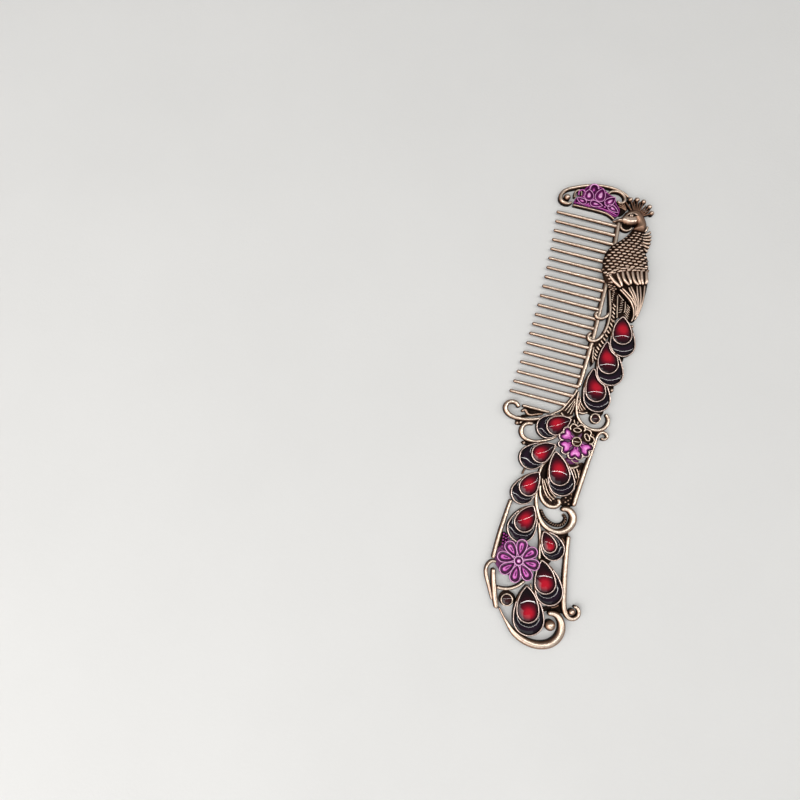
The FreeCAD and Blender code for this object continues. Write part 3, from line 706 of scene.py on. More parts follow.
# ---- wires that stand for CAD nodes: (stops, wall, base) ----
WIRES = {
    "spine_bar": [(SPINE, SPINE_WALL, 0.0)],
    "guard_scroll": [(GUARD, SPINE_WALL, 0.0)],
    "ring_scroll": [
        ([(5.9, 3.6, 0.8), (5.8, 0.6, 0.9), (6.1, -1.8, 1.0), (6.9, -4.8, 1.1),
          (8.6, -7.2, 1.2), (11.2, -8.8, 1.3), (14.2, -9.1, 1.4), (16.9, -8.2, 1.5),
          (18.4, -6.0, 1.5), (18.3, -3.6, 1.3), (17.1, -2.2, 1.0)], WIRE_WALL, 0.0),
        ([(7.2, -4.0, 0.8), (8.8, -4.2, 0.9), (10.6, -3.3, 0.8)], WIRE_WALL, 0.0),
    ],
    "vine_scroll": [
        ([(2.4, -18.2, 0.8), (1.1, -20.6, 0.9), (0.2, -23.8, 1.0), (-1.2, -26.6, 1.0),
          (-1.7, -30.4, 1.1), (-1.5, -34.6, 1.1), (-0.9, -38.4, 1.3), (0.4, -42.4, 1.4),
          (2.8, -46.1, 1.6), (6.0, -48.0, 1.8), (9.4, -48.1, 2.1), (12.2, -46.4, 2.5),
          (13.5, -43.4, 2.8), (12.8, -40.6, 2.6), (10.6, -39.5, 2.1), (8.6, -40.2, 1.7)],
         WIRE_WALL, 0.0),
        ([(1.8, -46.4, 0.9), (3.0, -49.6, 1.1), (3.9, -53.0, 1.1), (4.5, -56.4, 1.1),
          (5.0, -59.2, 0.9)], WIRE_WALL, 0.0),
    ],
    "top_arch": [([
        (-12.4, 76.6, 0.9), (-13.5, 75.7, 1.3), (-15.2, 75.5, 1.5), (-16.7, 76.3, 1.6),
        (-17.2, 78.0, 1.6), (-16.7, 79.8, 1.5), (-15.2, 81.4, 1.4), (-12.6, 82.9, 1.3),
        (-9.6, 84.3, 1.3), (-6.2, 85.5, 1.3), (-2.6, 86.3, 1.2), (1.0, 86.49, 1.2),
        (4.6, 86.0, 1.1), (7.2, 85.1, 1.0), (8.7, 84.2, 0.8)], WIRE_WALL, 0.0)],
    "top_scrolls": [
        ([(-9.5, 80.0, 0.7), (-9.6, 81.2, 0.8), (-10.5, 82.2, 0.9), (-11.5, 81.8, 0.9),
          (-12.1, 80.4, 0.9), (-11.8, 78.7, 0.8)], WIRE_WALL, 0.0),
        ([(0.3, 83.0, 0.8), (1.3, 84.6, 1.0), (3.2, 85.4, 1.1), (5.6, 85.2, 1.2),
          (7.2, 83.7, 1.2), (7.2, 81.9, 1.1), (5.8, 81.0, 1.0), (4.6, 81.7, 0.9)],
         WIRE_WALL, 0.0),
    ],
    "lotus_sill": [([
        (-11.9, 75.5, 0.7), (-6.0, 75.6, 0.8), (0.0, 75.5, 0.8), (3.0, 74.9, 0.8),
        (4.9, 73.7, 0.7)], WIRE_WALL, 0.0)],
    "throat_ring": [(even([
        (8.0, 72.9), (8.0, 71.4), (9.0, 70.5), (10.4, 70.3), (11.6, 71.0), (12.4, 72.3),
    ], 0.95), WIRE_WALL, 0.0)],
    "tail_stems": [
        ([(8.7, 45.0, 0.8), (9.4, 42.2, 0.9), (10.2, 39.0, 1.0), (10.8, 36.0, 1.0),
          (10.9, 33.0, 1.0), (10.7, 30.0, 1.1), (10.0, 27.2, 1.2)], 0.7, PLATE_TOP),
        ([(12.2, 43.4, 0.5), (12.7, 40.4, 0.6), (13.2, 37.4, 0.6), (13.7, 34.6, 0.5)],
         0.7, PLATE_TOP),
        ([(15.5, 41.8, 0.5), (15.9, 39.4, 0.6), (16.0, 37.2, 0.5)], 0.7, PLATE_TOP),
        ([(7.6, 21.4, 0.5), (7.8, 18.4, 0.6), (8.5, 15.2, 0.5)], 0.7, PLATE_TOP),
    ],
    "tail_hooks": [
        ([(10.4, 35.6, 1.0), (9.4, 33.7, 1.2), (7.8, 32.6, 1.3), (6.2, 32.7, 1.4),
          (5.5, 33.8, 1.3), (6.3, 35.0, 1.1)], 1.0, 1.6),
        ([(9.9, 27.0, 1.2), (8.6, 24.6, 1.3), (6.8, 23.3, 1.4), (5.1, 23.5, 1.4),
          (4.5, 24.9, 1.3), (5.4, 26.3, 1.1)], 1.0, 1.6),
    ],
    "guard_bar": [
        ([(-13.2, -6.9, 1.0), (-8.0, -6.9, 1.1), (-2.8, -6.9, 1.0)], WIRE_WALL, 0.0),
        ([(-12.9, -9.2, 1.2), (-11.9, -8.3, 1.0), (-10.6, -9.4, 0.9), (-7.8, -9.0, 0.8),
          (-5.0, -8.2, 0.7)], 1.15, 0.0),
    ],
    "guard_curl": [([
        (-7.7, -12.7, 1.2), (-9.4, -12.8, 1.4), (-10.9, -13.9, 1.6), (-11.5, -15.8, 1.7),
        (-10.5, -17.9, 1.6), (-8.2, -18.8, 1.4), (-5.2, -18.6, 1.3), (-2.4, -17.5, 1.2),
        (0.0, -16.2, 1.0), (1.6, -14.9, 0.9)], WIRE_WALL, 0.0)],
    "rail_left": [([
        (-9.4, -41.2, 1.3), (-9.9, -45.6, 1.4), (-10.4, -51.0, 1.5), (-10.8, -57.0, 1.5),
        (-10.9, -62.9, 1.5)], SPINE_WALL, 0.0)],
    "rail_right": [
        ([(17.3, -11.4, 0.9), (18.6, -11.5, 1.0), (19.4, -10.5, 1.1), (18.8, -9.4, 1.1),
          (17.4, -9.2, 1.1), (16.2, -10.2, 1.2), (15.6, -12.6, 1.2), (15.2, -16.2, 1.3),
          (14.5, -20.6, 1.6), (13.9, -25.2, 1.8), (13.4, -30.2, 1.8), (12.9, -35.0, 1.7),
          (12.7, -38.0, 1.6)], WIRE_WALL, 0.0),
        ([(13.2, -48.4, 1.6), (13.5, -52.4, 1.7), (14.1, -57.4, 1.8), (14.8, -62.4, 1.9),
          (15.6, -67.0, 1.9), (16.4, -71.2, 1.9), (17.6, -74.2, 1.8), (19.6, -75.7, 1.6),
          (21.5, -75.0, 1.5), (22.2, -73.2, 1.4), (21.2, -71.6, 1.2), (19.9, -71.5, 1.0)],
         WIRE_WALL, 0.0),
    ],
    "end_scroll": [([
        (-5.0, -78.4, 0.6), (-3.0, -80.8, 0.7), (-0.9, -82.9, 1.2), (1.6, -85.0, 2.1),
        (4.6, -86.4, 2.5), (8.4, -87.15, 2.7), (12.2, -86.7, 2.8), (15.6, -84.7, 2.9),
        (17.3, -81.4, 2.9), (16.9, -77.9, 2.6), (14.6, -75.7, 2.2), (11.6, -76.0, 1.8)],
        WIRE_WALL, 0.0)],
    "end_hook": [
        ([(-10.1, -66.0, 1.6), (-9.3, -69.2, 1.8), (-8.3, -72.4, 1.9), (-7.2, -75.6, 1.9),
          (-5.8, -79.0, 1.6)], SPINE_WALL, 0.0),
        ([(-9.4, -63.8, 1.0), (-10.6, -63.7, 1.2), (-12.0, -65.0, 1.3), (-12.4, -67.2, 1.3),
          (-11.6, -69.6, 1.3), (-10.3, -72.0, 1.2), (-9.0, -74.6, 1.0), (-8.0, -76.6, 0.7)],
         WIRE_WALL, 0.0),
    ],
    "cross_wire": [(even([
        (-7.6, -72.0), (-5.0, -71.9), (-2.4, -71.1), (-0.2, -69.5), (1.6, -67.4),
    ], 1.25), WIRE_WALL, 0.0)],
}


def wires():
    """The half-round wires, each under its CAD node's name."""
    for node, parts in WIRES.items():
        skin = Skin()
        for route, wall, base in parts:
            wire(skin, route, wall, base)
        skin.build(f"{node}_fine", antique, [node])


STUDS = (
    (-14.7, 78.0, 1.3, 1.4), (19.7, -73.4, 1.2, 1.4), (13.2, -79.6, 1.9, 1.7),
    (20.0, 33.0, 0.6, 1.4), (17.5, 7.0, 0.7, 1.4), (-13.6, -13.8, 0.65, 1.4),
    (-12.4, -13.3, 0.5, 1.4), (-9.5, -20.3, 0.6, 1.4),
)


def studs():
    skin = Skin()
    for stud in STUDS:
        ball(skin, *stud)
    skin.build("studs_fine", antique, ["beads"])


# ---- the bird ----
WING_SEAM = [(8.4, 45.6), (7.2, 49.0), (9.0, 51.0), (12.4, 53.2), (16.4, 54.4), (21.4, 55.8)]
NECK_SEAM = [(12.5, 70.9), (14.7, 70.6), (16.8, 70.8)]
BODY = [
    [(12.5, 70.9), (11.0, 68.0), (9.4, 65.9), (6.8, 63.0), (4.9, 60.1), (4.0, 56.5),
     (4.2, 52.4), (5.3, 48.9), (6.8, 46.9), (8.4, 45.6)],
    [(8.4, 45.6), (10.6, 46.4), (13.4, 48.6), (16.8, 50.2), (21.0, 51.4)],
    [(21.0, 51.4), (21.4, 55.8), (20.8, 58.6), (19.8, 61.4), (18.2, 63.6), (17.2, 67.2), (16.8, 70.8)],
    NECK_SEAM[::-1],
]
SKULL = [
    [(7.6, 74.6), (8.2, 76.4), (9.3, 77.8), (11.2, 79.0), (13.4, 79.0), (15.1, 77.9), (16.3, 76.2),
     (17.2, 74.3), (17.3, 72.5), (16.8, 70.8)],
    NECK_SEAM[::-1],
    [(12.5, 70.9), (12.9, 71.9), (13.4, 73.4), (12.4, 74.4), (10.0, 74.2), (7.6, 74.6)],
]
FACE = [
    [(4.1, 71.9), (5.8, 73.4), (7.2, 74.4), (8.1, 75.7), (9.4, 76.6), (11.5, 76.9), (13.0, 76.2),
     (13.8, 74.8), (13.4, 73.3), (12.3, 72.6), (10.5, 72.1), (8.8, 72.2)],
    [(8.8, 72.2), (7.4, 72.5), (6.2, 72.2), (5.1, 71.7), (4.1, 71.9)],
]
SKULL_DOME = (2.4, 1.3, 2.1)  # the edge's height, the rise and how far in it goes
FACE_DOME = (2.7, 1.05, 1.5)
SCALE_ROWS = 22
SCALE_PITCH = 1.2
FIRST_SCALE_Y = 70.3
SCALE_MIDDLE_X = 9.8
SCALE_SPAN = 2.05  # from one scale to the next along a row
SCALE_LONG, SCALE_WIDE, SCALE_TALL = 1.95, 0.96, 0.42
SCALE_SINK = 0.12  # into the body, so that no scale floats
SEAM_SCALES = [(6.6, 49.9), (8.4, 51.4), (12.2, 53.4), (16.4, 54.6), (20.9, 55.8)]
LOW_SCALES = ((7.7, 48.3), (8.0, 47.3), (9.2, 47.1), (7.9, 46.3), (8.9, 46.2), (10.1, 46.1),
              (8.4, 45.4), (9.5, 45.3), (10.7, 45.3), (9.0, 44.6), (10.1, 44.5))


def over_spine(loop):
    """The wall under a bird outline: to the table beside the spine, and only onto it above."""
    return np.where(np.asarray(loop)[:, 0] > SPINE_RIGHT_X, 0.0, 2.3)


def scale_foot(loop, x, y):
    """The height that a scale stands on."""
    return BIRD_EDGE + profile(depth_in(loop, [(x, y)]), BIRD_RISE, BIRD_REACH)[0] - SCALE_SINK


def body():
    """A dark cushion under rows of scales that shrink towards the neck."""
    loop = closed(BODY)
    skin = Skin()
    dome(skin, loop, BIRD_EDGE, BIRD_RISE, BIRD_REACH, over_spine(loop), glow=0.16)
    for row in range(SCALE_ROWS):
        y = FIRST_SCALE_Y - row * SCALE_PITCH
        size = min(1.0, 0.68 + 0.05 * row)
        for column in range(-6, 12):
            x = SCALE_MIDDLE_X + (column + 0.5 * (row % 2)) * (SCALE_SPAN * size)
            tall = y + 0.10 * (x - 10)
            depth = depth_in(loop, [(x, tall)])[0]
            beside_wing = x < 7.3 + (50.4 - tall) * 1.1
            above_wing = tall > 50.9 + 0.38 * (x - 8.2)
            if depth < 0.3 or not (beside_wing or above_wing):
                continue
            edge = 0.75 if depth < 0.9 else 1.0
            bump(skin, x, tall, scale_foot(loop, x, tall), 13 + random.uniform(-4, 4),
                 SCALE_LONG * size * edge, SCALE_WIDE * size * edge, SCALE_TALL)
    seam = spline(even(SEAM_SCALES, 1.0), 0.95)
    for line, shift in ((seam[::2], 0.45), (seam[1::2], -0.55)):
        for (x, y, _), (tx, ty) in zip(line, tangents(line[:, :2])):
            angle = math.degrees(math.atan2(ty, tx))
            bump(skin, x, y + shift, scale_foot(loop, x, y + 0.7), angle, 1.7, 0.85, 0.45)
    for x, y in LOW_SCALES:
        bump(skin, x, y, 2.7, 5, 1.25, 0.72, SCALE_TALL)
    skin.build("body_fine", plumage_copper, ["peacock_body"])


def head():
    """The skull and neck, the face with its beak, the eye and the dark hollow in the throat."""
    skin, lids, hollow = Skin(), Skin(), Skin()
    skull, front = closed(SKULL), closed(FACE)
    for loop, (edge, rise, reach), glow in ((skull, SKULL_DOME, 0.74), (front, FACE_DOME, 1.0)):
        dome(skin, loop, edge, rise, reach, over_spine(loop), 0.3, glow)
    skin.build("head_fine", plumage_copper, ["peacock_head"])

    def face(points):
        """The head's height at plan points."""
        return np.maximum(*(
            edge + profile(depth_in(loop, points), rise, reach)
            for loop, (edge, rise, reach) in ((skull, SKULL_DOME), (front, FACE_DOME))
        ))

    upper_lid = [(8.6, 74.8), (9.3, 75.9), (10.5, 76.7), (11.7, 76.8), (12.9, 76.2)]
    lower_lid = [(8.6, 74.8), (9.8, 74.9), (10.9, 75.0), (11.8, 75.5), (12.9, 76.2)]
    wire(lids, even(upper_lid, 0.45), 0.08, face, 0.18, 0.9)
    wire(lids, even(lower_lid, 0.25), 0.02, face, 0.18, 0.7, 0.7)
    draped(lids, oval(10.6, 75.8, 22, 0.72, 0.48, 22), face, 0.03, 0.2)
    lids.build("eye_fine", plumage_copper)
    draped(hollow, closed([upper_lid, lower_lid[::-1]], 0.2), face, 0.015, 0.02)
    wire(hollow, even([(8.2, 76.4), (9.4, 77.5), (11.2, 78.0)], 0.22), 0.0, face, 0.2, 0.2)
    wire(hollow, even([(7.1, 74.1), (7.6, 73.4), (7.9, 72.8)], 0.2), 0.0, face, 0.2, 0.25)
    dome(hollow, oval(10.4, 72.0, 10, 1.9, 0.95, 28), 1.2, 0.1, 0.6, 0.8, 0.3)
    hollow.build("eye_socket", oxide)


CREST_BALLS = ((9.4, 83.4), (12.0, 84.0), (14.6, 83.8), (17.2, 82.3), (18.5, 79.9))
CREST_FAN = ((7.7, 82.0), (9.4, 83.4), (10.7, 83.2), (12.0, 84.0), (13.3, 83.5), (14.6, 83.8),
             (15.9, 82.7), (17.2, 82.3), (17.6, 80.9), (18.5, 79.9))
CREST_FOOT = (12.9, 76.6)
PLUMES = (
    [(17.3, 71.3), (17.8, 72.5), (17.9, 74.0)],
    [(17.0, 70.2), (18.5, 70.9), (19.6, 72.1)],
    [(16.8, 69.1), (18.5, 69.5), (20.2, 70.4)],
    [(16.9, 68.2), (18.7, 68.3), (20.5, 68.9)],
    [(17.1, 67.3), (18.8, 66.9), (20.5, 67.3)],
    [(17.5, 66.2), (18.9, 65.6), (20.3, 65.5)],
    [(18.1, 64.7), (19.1, 64.1), (20.0, 63.6)],
)


def plumage():
    """The crest's beaded feathers, the fine strands in front of it and the ruff at the nape."""
    crest = Skin()
    for x, y in CREST_BALLS:
        ball(crest, x, y, 0.95, 1.5)
    for x, y in CREST_FAN:
        start = (CREST_FOOT[0] + (x - CREST_FOOT[0]) * 0.3, CREST_FOOT[1] + (y - CREST_FOOT[1]) * 0.3)
        middle = ((start[0] + x) / 2 + 0.15, (start[1] + y) / 2)
        wire(crest, [(*start, 0.75), (*middle, 0.62), (x, y, 0.4)], 1.2, 0.4, glow=0.55)
    for x, y in ((5.0, 79.3), (5.3, 80.4), (6.0, 81.2), (7.0, 81.6)):
        bend_at = (x * 0.5 + 4.4, y * 0.5 + 39.6)
        wire(crest, [(8.8, 78.6, 0.6), (*bend_at, 0.55), (x, y, 0.3)], 1.3, 0.0, 0.3, glow=0.8)
    crest.build("crest_fine", antique, ["crest"])
    ruff = Skin()
    for plume in PLUMES:
        wire(ruff, [(*spot, width) for spot, width in zip(plume, (0.6, 1.0, 1.15))], 1.75)
    ruff.build("ruff_fine", antique, ["neck_ruff"])


WING = [
    WING_SEAM,
    [(21.4, 55.8), (22.2, 51.0), (22.3, 46.4), (21.9, 42.0), (21.2, 38.2), (20.2, 34.8)],
    [(20.2, 34.8), (19.0, 35.0), (19.0, 38.4), (17.6, 41.2), (15.0, 43.4), (12.4, 45.6),
     (10.4, 46.6), (8.4, 45.6)],
]
COVERTS = (
    # the left ridge, the right ridge, and the slit between them
    ([(6.9, 50.2), (9.1, 48.0), (10.8, 46.9), (12.3, 46.0)],
     [(9.6, 51.5), (11.2, 49.1), (12.1, 47.7), (12.7, 46.4)], [(8.9, 50.0), (10.2, 48.5), (11.5, 46.9)]),
    ([(11.6, 52.6), (12.7, 49.9), (13.9, 48.6), (15.4, 47.8)],
     [(13.1, 53.3), (14.6, 50.6), (15.4, 49.2), (15.8, 48.1)], [(12.9, 51.5), (13.6, 50.1), (14.6, 48.8)]),
    ([(15.2, 53.7), (16.3, 50.8), (17.4, 49.4), (18.8, 48.8)],
     [(17.0, 54.2), (18.1, 51.2), (18.8, 49.9), (19.2, 48.9)], [(16.6, 52.3), (17.3, 50.9), (18.2, 49.6)]),
    ([(18.4, 54.9), (19.1, 52.1), (19.6, 50.6), (20.4, 49.2)],
     [(20.3, 55.2), (20.9, 52.4), (21.2, 50.8), (21.1, 49.6)], [(19.7, 53.5), (20.0, 52.0), (20.4, 50.6)]),
)
COVERT_TAPER = (1.15, 1.45, 1.4, 0.9)
COVERT_BASE = 3.05
PRIMARIES = (
    [(12.2, 45.5), (14.8, 43.8), (17.1, 41.8), (18.5, 39.6), (19.2, 37.2), (19.2, 35.4), (18.8, 34.2)],
    [(12.9, 46.2), (15.2, 44.7), (17.5, 42.8), (19.2, 40.3), (19.8, 37.3)],
    [(15.2, 47.2), (16.9, 45.0), (18.5, 42.7), (19.6, 40.2)],
    [(16.0, 47.8), (17.7, 45.4), (19.2, 42.9), (20.0, 39.4), (19.8, 36.7)],
    [(18.2, 48.6), (19.0, 45.4), (19.9, 42.7), (20.4, 39.5), (20.0, 37.1)],
    [(19.3, 48.8), (20.2, 45.5), (20.8, 41.9), (20.7, 39.0), (20.1, 36.5)],
    [(21.0, 49.4), (21.4, 45.6), (21.4, 42.7), (21.1, 39.7), (20.3, 36.3), (19.8, 35.0)],
)


def wing():
    """Long primaries under a row of paired covert ridges with dark slits between them."""
    skin = Skin()
    loop = closed(WING)
    dome(skin, loop, 2.2, 0.6, 2.0, np.zeros(len(loop)), glow=0.06)
    for line in PRIMARIES:
        taper = np.interp(np.linspace(0, 1, len(line)), [0, 0.3, 1], [0.7, 0.95, 0.7])
        wire(skin, [(x, y, w) for (x, y), w in zip(line, taper)], 0.5, 2.5, crown=1.1)
    for *ridges, _ in COVERTS:
        for ridge in ridges:
            wire(skin, [(*p, w) for p, w in zip(ridge, COVERT_TAPER)], 0.35, COVERT_BASE, 0.25)
    skin.build("wing_fine", plumage_copper, ["peacock_wing"])
    slits = Skin()
    for *_, slit in COVERTS:
        wire(slits, [(*p, w) for p, w in zip(slit, (0.45, 0.6, 0.3))], 0.75, COVERT_BASE, 0.2, 0.5)
    slits.build("wing_slits", oxide)


def lattice(skin, starts, step, width, z, wall=0.3):
    """Short strands that all run the same way from their starting points."""
    dx, dy = step
    for x, y in starts:
        wire(skin, even([(x, y), (x + dx / 2, y + dy / 2), (x + dx, y + dy)], width), wall, z, 0.25)


BARB_STARTS = (
    (11.2, 39.9), (11.3, 38.5), (11.5, 37.0), (11.6, 35.5), (11.6, 33.9), (11.5, 32.3), (11.3, 30.7),
    (11.0, 29.1), (10.6, 27.5), (10.2, 26.0), (9.7, 24.6), (9.1, 23.2), (8.6, 21.9), (8.3, 20.6),
    (8.2, 19.3), (8.3, 18.0),
)

BARB_ROWS = (
    # the first start, the way to the next, how many, each strand's run and its width
    ((13.9, 36.9), (0, 0.95), 6, (1.2, 0.75), 0.36), ((16.5, 41.0), (0, -0.85), 7, (1.5, -1.35), 0.34),
    ((10.2, 44.6), (0, -0.8), 6, (0.9, -0.2), 0.4), ((9.9, 45.4), (0, -0.1), 2, (1.1, -0.5), 0.4),
    ((12.5, 44.2), (0.5, -0.4), 4, (0.9, -0.9), 0.36),
)


def tail():
    """Short strands struck across the tail's web."""
    barbs = Skin()
    lattice(barbs, BARB_STARTS, (1.35, -1.15), 0.62, PLATE_TOP, 0.35)
    for (x, y), (dx, dy), count, step, width in BARB_ROWS:
        lattice(barbs, [(x + dx * i, y + dy * i) for i in range(count)], step, width, PLATE_TOP)
    lattice(barbs, [(12.6, 33.6), (12.2, 31.8), (11.9, 30.0)], (0.9, -1.0), 0.4, PLATE_TOP)
    barbs.build("tail_barbs", antique)


# ---- lotus ----
LOTUS_PETALS = (
    (-6.8, 80.5, 98, 2.45, 1.9), (-2.4, 81.7, 82, 3.0, 2.05), (1.8, 80.1, 52, 2.7, 1.7),
    (-9.2, 77.5, 165, 2.15, 1.3), (-3.2, 77.5, 0, 2.6, 1.4), (3.5, 77.2, -24, 2.45, 1.4),
)
LOTUS_BEADS = ((-6.3, 76.9), (0.2, 77.3), (-4.6, 79.3), (-0.1, 79.0), (-8.7, 79.4), (-0.5, 83.4))
LOTUS_PLATE = [
    (-11.8, 76.1), (-11.3, 78.4), (-9.4, 80.0), (-9.0, 82.4), (-8.0, 84.4), (-5.6, 85.9),
    (-3.0, 85.6), (-0.6, 84.4), (1.2, 83.2), (3.6, 82.2), (4.4, 80.2), (6.0, 78.4),
    (6.3, 76.6), (5.4, 74.6), (4.2, 74.6), (1.0, 75.8), (-4.0, 76.0), (-11.8, 76.0),
]


def petal_outline(x, y, angle, long_half, short_half):
    """A pear shape round its middle, with its pointed end outwards."""
    centre = (x, y)
    return teardrop(around(centre, angle, long_half), around(centre, angle, -long_half), short_half * 2)


def lotus():
    """A plate with a raised edge, and ringed petals, curls and beads on it."""
    plate, petals = Skin(), Skin()
    ground = spline(LOTUS_PLATE, 0.3)[:-1]
    dome(plate, ground, PLATE_TOP, 0.25, 1.0, 0.0, glow=0.45)
    hoop(plate, grown(ground, -0.3), 0.55, PLATE_TOP, 0.5, glow=0.8)
    plate.build("lotus_plate_fine", orchid, ["lotus_plate"], "dark_copper")
    for petal in LOTUS_PETALS:
        loop = petal_outline(*petal)
        dome(petals, loop, PETAL_EDGE, 0.3, 1.0, 1.2, 0.3, glow=0.28)
        hoop(petals, grown(loop, PETAL_RIM), 0.36, PETAL_EDGE, 0.62)
        x, y, angle, long_half, short_half = petal
        inner = petal_outline(x, y, angle, long_half * 0.6, short_half * 0.56)
        # the inner dome is painted lighter towards its middle: a painted highlight on its top
        dome(petals, inner, 2.1, 0.7, 0.6, 1.9, 0.2, glow=lambda p, d: np.clip(0.35 + d, 0, 1))
    curl = [(-7.0, 83.0), (-6.9, 84.3), (-6.2, 85.3), (-4.9, 85.5), (-4.0, 84.9), (-3.7, 83.8)]
    wire(petals, even(curl, 0.75), 1.2, 1.2)
    wire(petals, even([(-10.6, 79.6), (-10.8, 81.0), (-9.6, 82.2), (-8.4, 81.4), (-8.5, 79.6)], 0.6),
         1.0, 1.2)
    dome(petals, oval(-5.4, 83.4, 90, 1.0, 0.8, 24), 1.7, 0.7, 0.8, 1.2, 0.25)
    for x, y in LOTUS_BEADS:
        ball(petals, x, y, 0.45, 2.1)
    wire(petals, even([(-10.9, 76.3), (-6.0, 76.5), (0.0, 76.4), (3.4, 75.8), (5.4, 75.2)], 0.5),
         0.9, 1.2)
    petals.build("lotus_petals_fine", orchid, ["lotus_enamel"])


# ---- flowers ----
LOWER = (-2.3, -61.3)
LOWER_PETALS = 8
LOWER_REACH = 7.6
UPPER = (8.6, -15.2)
UPPER_PETALS = 6
UPPER_FIRST = 97
UPPER_REACH = 6.6
BARE_PETALS = (0, 5)  # copper, without lacquer
PETAL_EDGE = 1.9
PETAL_RIM = -0.12  # how far out from a petal's outline its rim runs
BROW = (  # a petal's far rim: degrees from its middle line, share of the reach
    (-31, 0.72), (-28, 0.88), (-17, 1.0), (-6, 0.95), (0, 0.86), (6, 0.95), (17, 1.0), (28, 0.88),
    (31, 0.72),
)
DOT_ROWS, DOT_COLUMNS = 6, 4


def lower_flower():
    """Eight ringed petals round a button, and a field of dots beside them."""
    skin, bosses = Skin(), Skin()
    ground = oval(-3.4, -60.8, 20, 7.2, 6.2, 60)
    dome(skin, ground, 1.5, 0.2, 1.0, 0.0, 0.6, glow=0.3)
    for index in range(LOWER_PETALS):
        angle = 360 * index / LOWER_PETALS
        loop = teardrop(around(LOWER, angle, 1.2), around(LOWER, angle, LOWER_REACH), 3.9)
        dome(skin, loop, PETAL_EDGE, 0.1, 1.0, 1.2, 0.35, glow=0.05)
        hoop(skin, grown(loop, PETAL_RIM), 0.40, PETAL_EDGE, 0.62)
        inner = teardrop(around(LOWER, angle, 2.1), around(LOWER, angle, LOWER_REACH - 1.0), 2.0)
        # the inner almond is painted lighter towards its middle: a painted highlight
        dome(skin, inner, 2.1, 0.45, 0.5, 1.8, 0.25, glow=lambda p, d: np.clip(0.4 + d * 1.5, 0, 0.9))
        vein = [around(LOWER, angle, reach) for reach in (3.7, 4.6, 5.4)]
        wire(skin, even(vein, 0.45), 0.1, 2.5, 0.25, 0.3, glow=0.12)
    for row in range(DOT_ROWS):
        for column in range(DOT_COLUMNS):
            x, y = -9.2 + 0.95 * column + 0.1 * row, -53.6 - 1.1 * row - 0.25 * column
            if x < -6.4 - 0.3 * row:
                ball(skin, x, y, 0.40, 1.75, 0.95)
    skin.build("flower_lower_fine", orchid, ["flower_lower_plate", "flower_lower_enamel"])
    ball(bosses, *LOWER, 0.9, 2.75)
    hoop(bosses, oval(*LOWER, 0, 1.55, 1.55, 36), 0.45, 2.2, 0.55)
    dome(bosses, oval(*LOWER, 0, 1.6, 1.6, 36), 2.1, 0.1, 1.0, 1.2, 0.4, glow=0.2)
    bosses.build("flower_lower_boss", orchid)


def heart(centre, angle, reach, spread=30):
    """A two-lobed petal round its own middle line, spread degrees wide to either side."""
    lobes = [around(centre, angle + turn * spread / 30, reach) for turn in (-16, 16)]
    notch = around(centre, angle, reach - 0.9)
    near = around(centre, angle, 1.5)
    sides = [around(centre, angle + turn, reach * 0.78) for turn in (-spread, spread)]
    low = [around(centre, angle + turn, reach * 0.5) for turn in (-spread * 0.8, spread * 0.8)]
    halves = [near, low[0], sides[0], lobes[0], notch], [notch, lobes[1], sides[1], low[1], near]
    return closed(halves, 0.22)


def upper_flower():
    """Six two-lobed petals round a button: four lacquered ones and two of bare copper."""
    lacquered, bare, rims, boss = Skin(), Skin(), Skin(), Skin()
    dome(lacquered, oval(*UPPER, 0, 5.3, 5.3, 48), 1.5, 0.2, 1.0, 0.0, 0.5, glow=0.2)
    dome(lacquered, oval(8.6, -22.2, 12, 2.7, 1.3, 30), 1.4, 0.3, 1.0, 0.0, 0.4, glow=0.3)
    for index in range(UPPER_PETALS):
        angle = UPPER_FIRST + 360 * index / UPPER_PETALS
        loop = heart(UPPER, angle, UPPER_REACH)
        brow = [around(UPPER, angle + turn, (UPPER_REACH - 0.1) * share) for turn, share in BROW]
        if index in BARE_PETALS:
            dome(bare, loop, PETAL_EDGE, 0.15, 0.9, 0.0, 0.35, glow=0.05)
            wire(bare, even(brow, 0.62), 0.6, PETAL_EDGE)
            hoop(bare, oval(*around(UPPER, angle, 4.3), angle + 90, 1.35, 0.75, 30), 0.5, PETAL_EDGE, 0.5)
            continue
        dome(lacquered, loop, PETAL_EDGE, 0.15, 0.9, 0.0, 0.35, glow=0.08)
        wire(rims, even(brow, 0.42), 0.6, PETAL_EDGE)
        plate = heart(UPPER, angle, UPPER_REACH - 0.75, 27)
        # a painted highlight on each plate: lighter inside its edge and brightest near its far end
        far = np.array(around(UPPER, angle, UPPER_REACH - 1.9))
        dome(lacquered, plate, 2.1, 0.5, 0.6, 1.8, 0.25, glow=lambda p, d, far=far: np.clip(
            np.clip(d * 1.8, 0.25, 1) * (1.2 - 0.32 * np.hypot(*(p - far).T)), 0.1, 1))
        for turn in (-13, 13):
            wire(lacquered, even([around(UPPER, angle + turn, r) for r in (1.9, 2.7, 3.4)], 0.45),
                 0.45, 2.2, 0.25, glow=0.7)
    lacquered.build("flower_upper_fine", orchid, ["flower_upper_plate", "flower_upper_enamel"])
    bare.build("flower_upper_bare", antique)
    rims.build("flower_upper_rims", rim_copper)
    hoop(boss, oval(*UPPER, 0, 1.6, 1.6, 40), 0.42, 2.2, 0.75)
    dome(boss, oval(*UPPER, 0, 1.5, 1.5, 36), 2.3, 0.1, 1.2, 2.0, 0.3, glow=0.12)
    bar = [(UPPER[0] + dx, UPPER[1] + dx * 0.12) for dx in (-1.2, 0.0, 1.2)]
    wire(boss, even(bar, 0.5), 0.3, 2.3, 0.25)
    boss.build("flower_bosses_fine", antique, ["flower_bosses"])


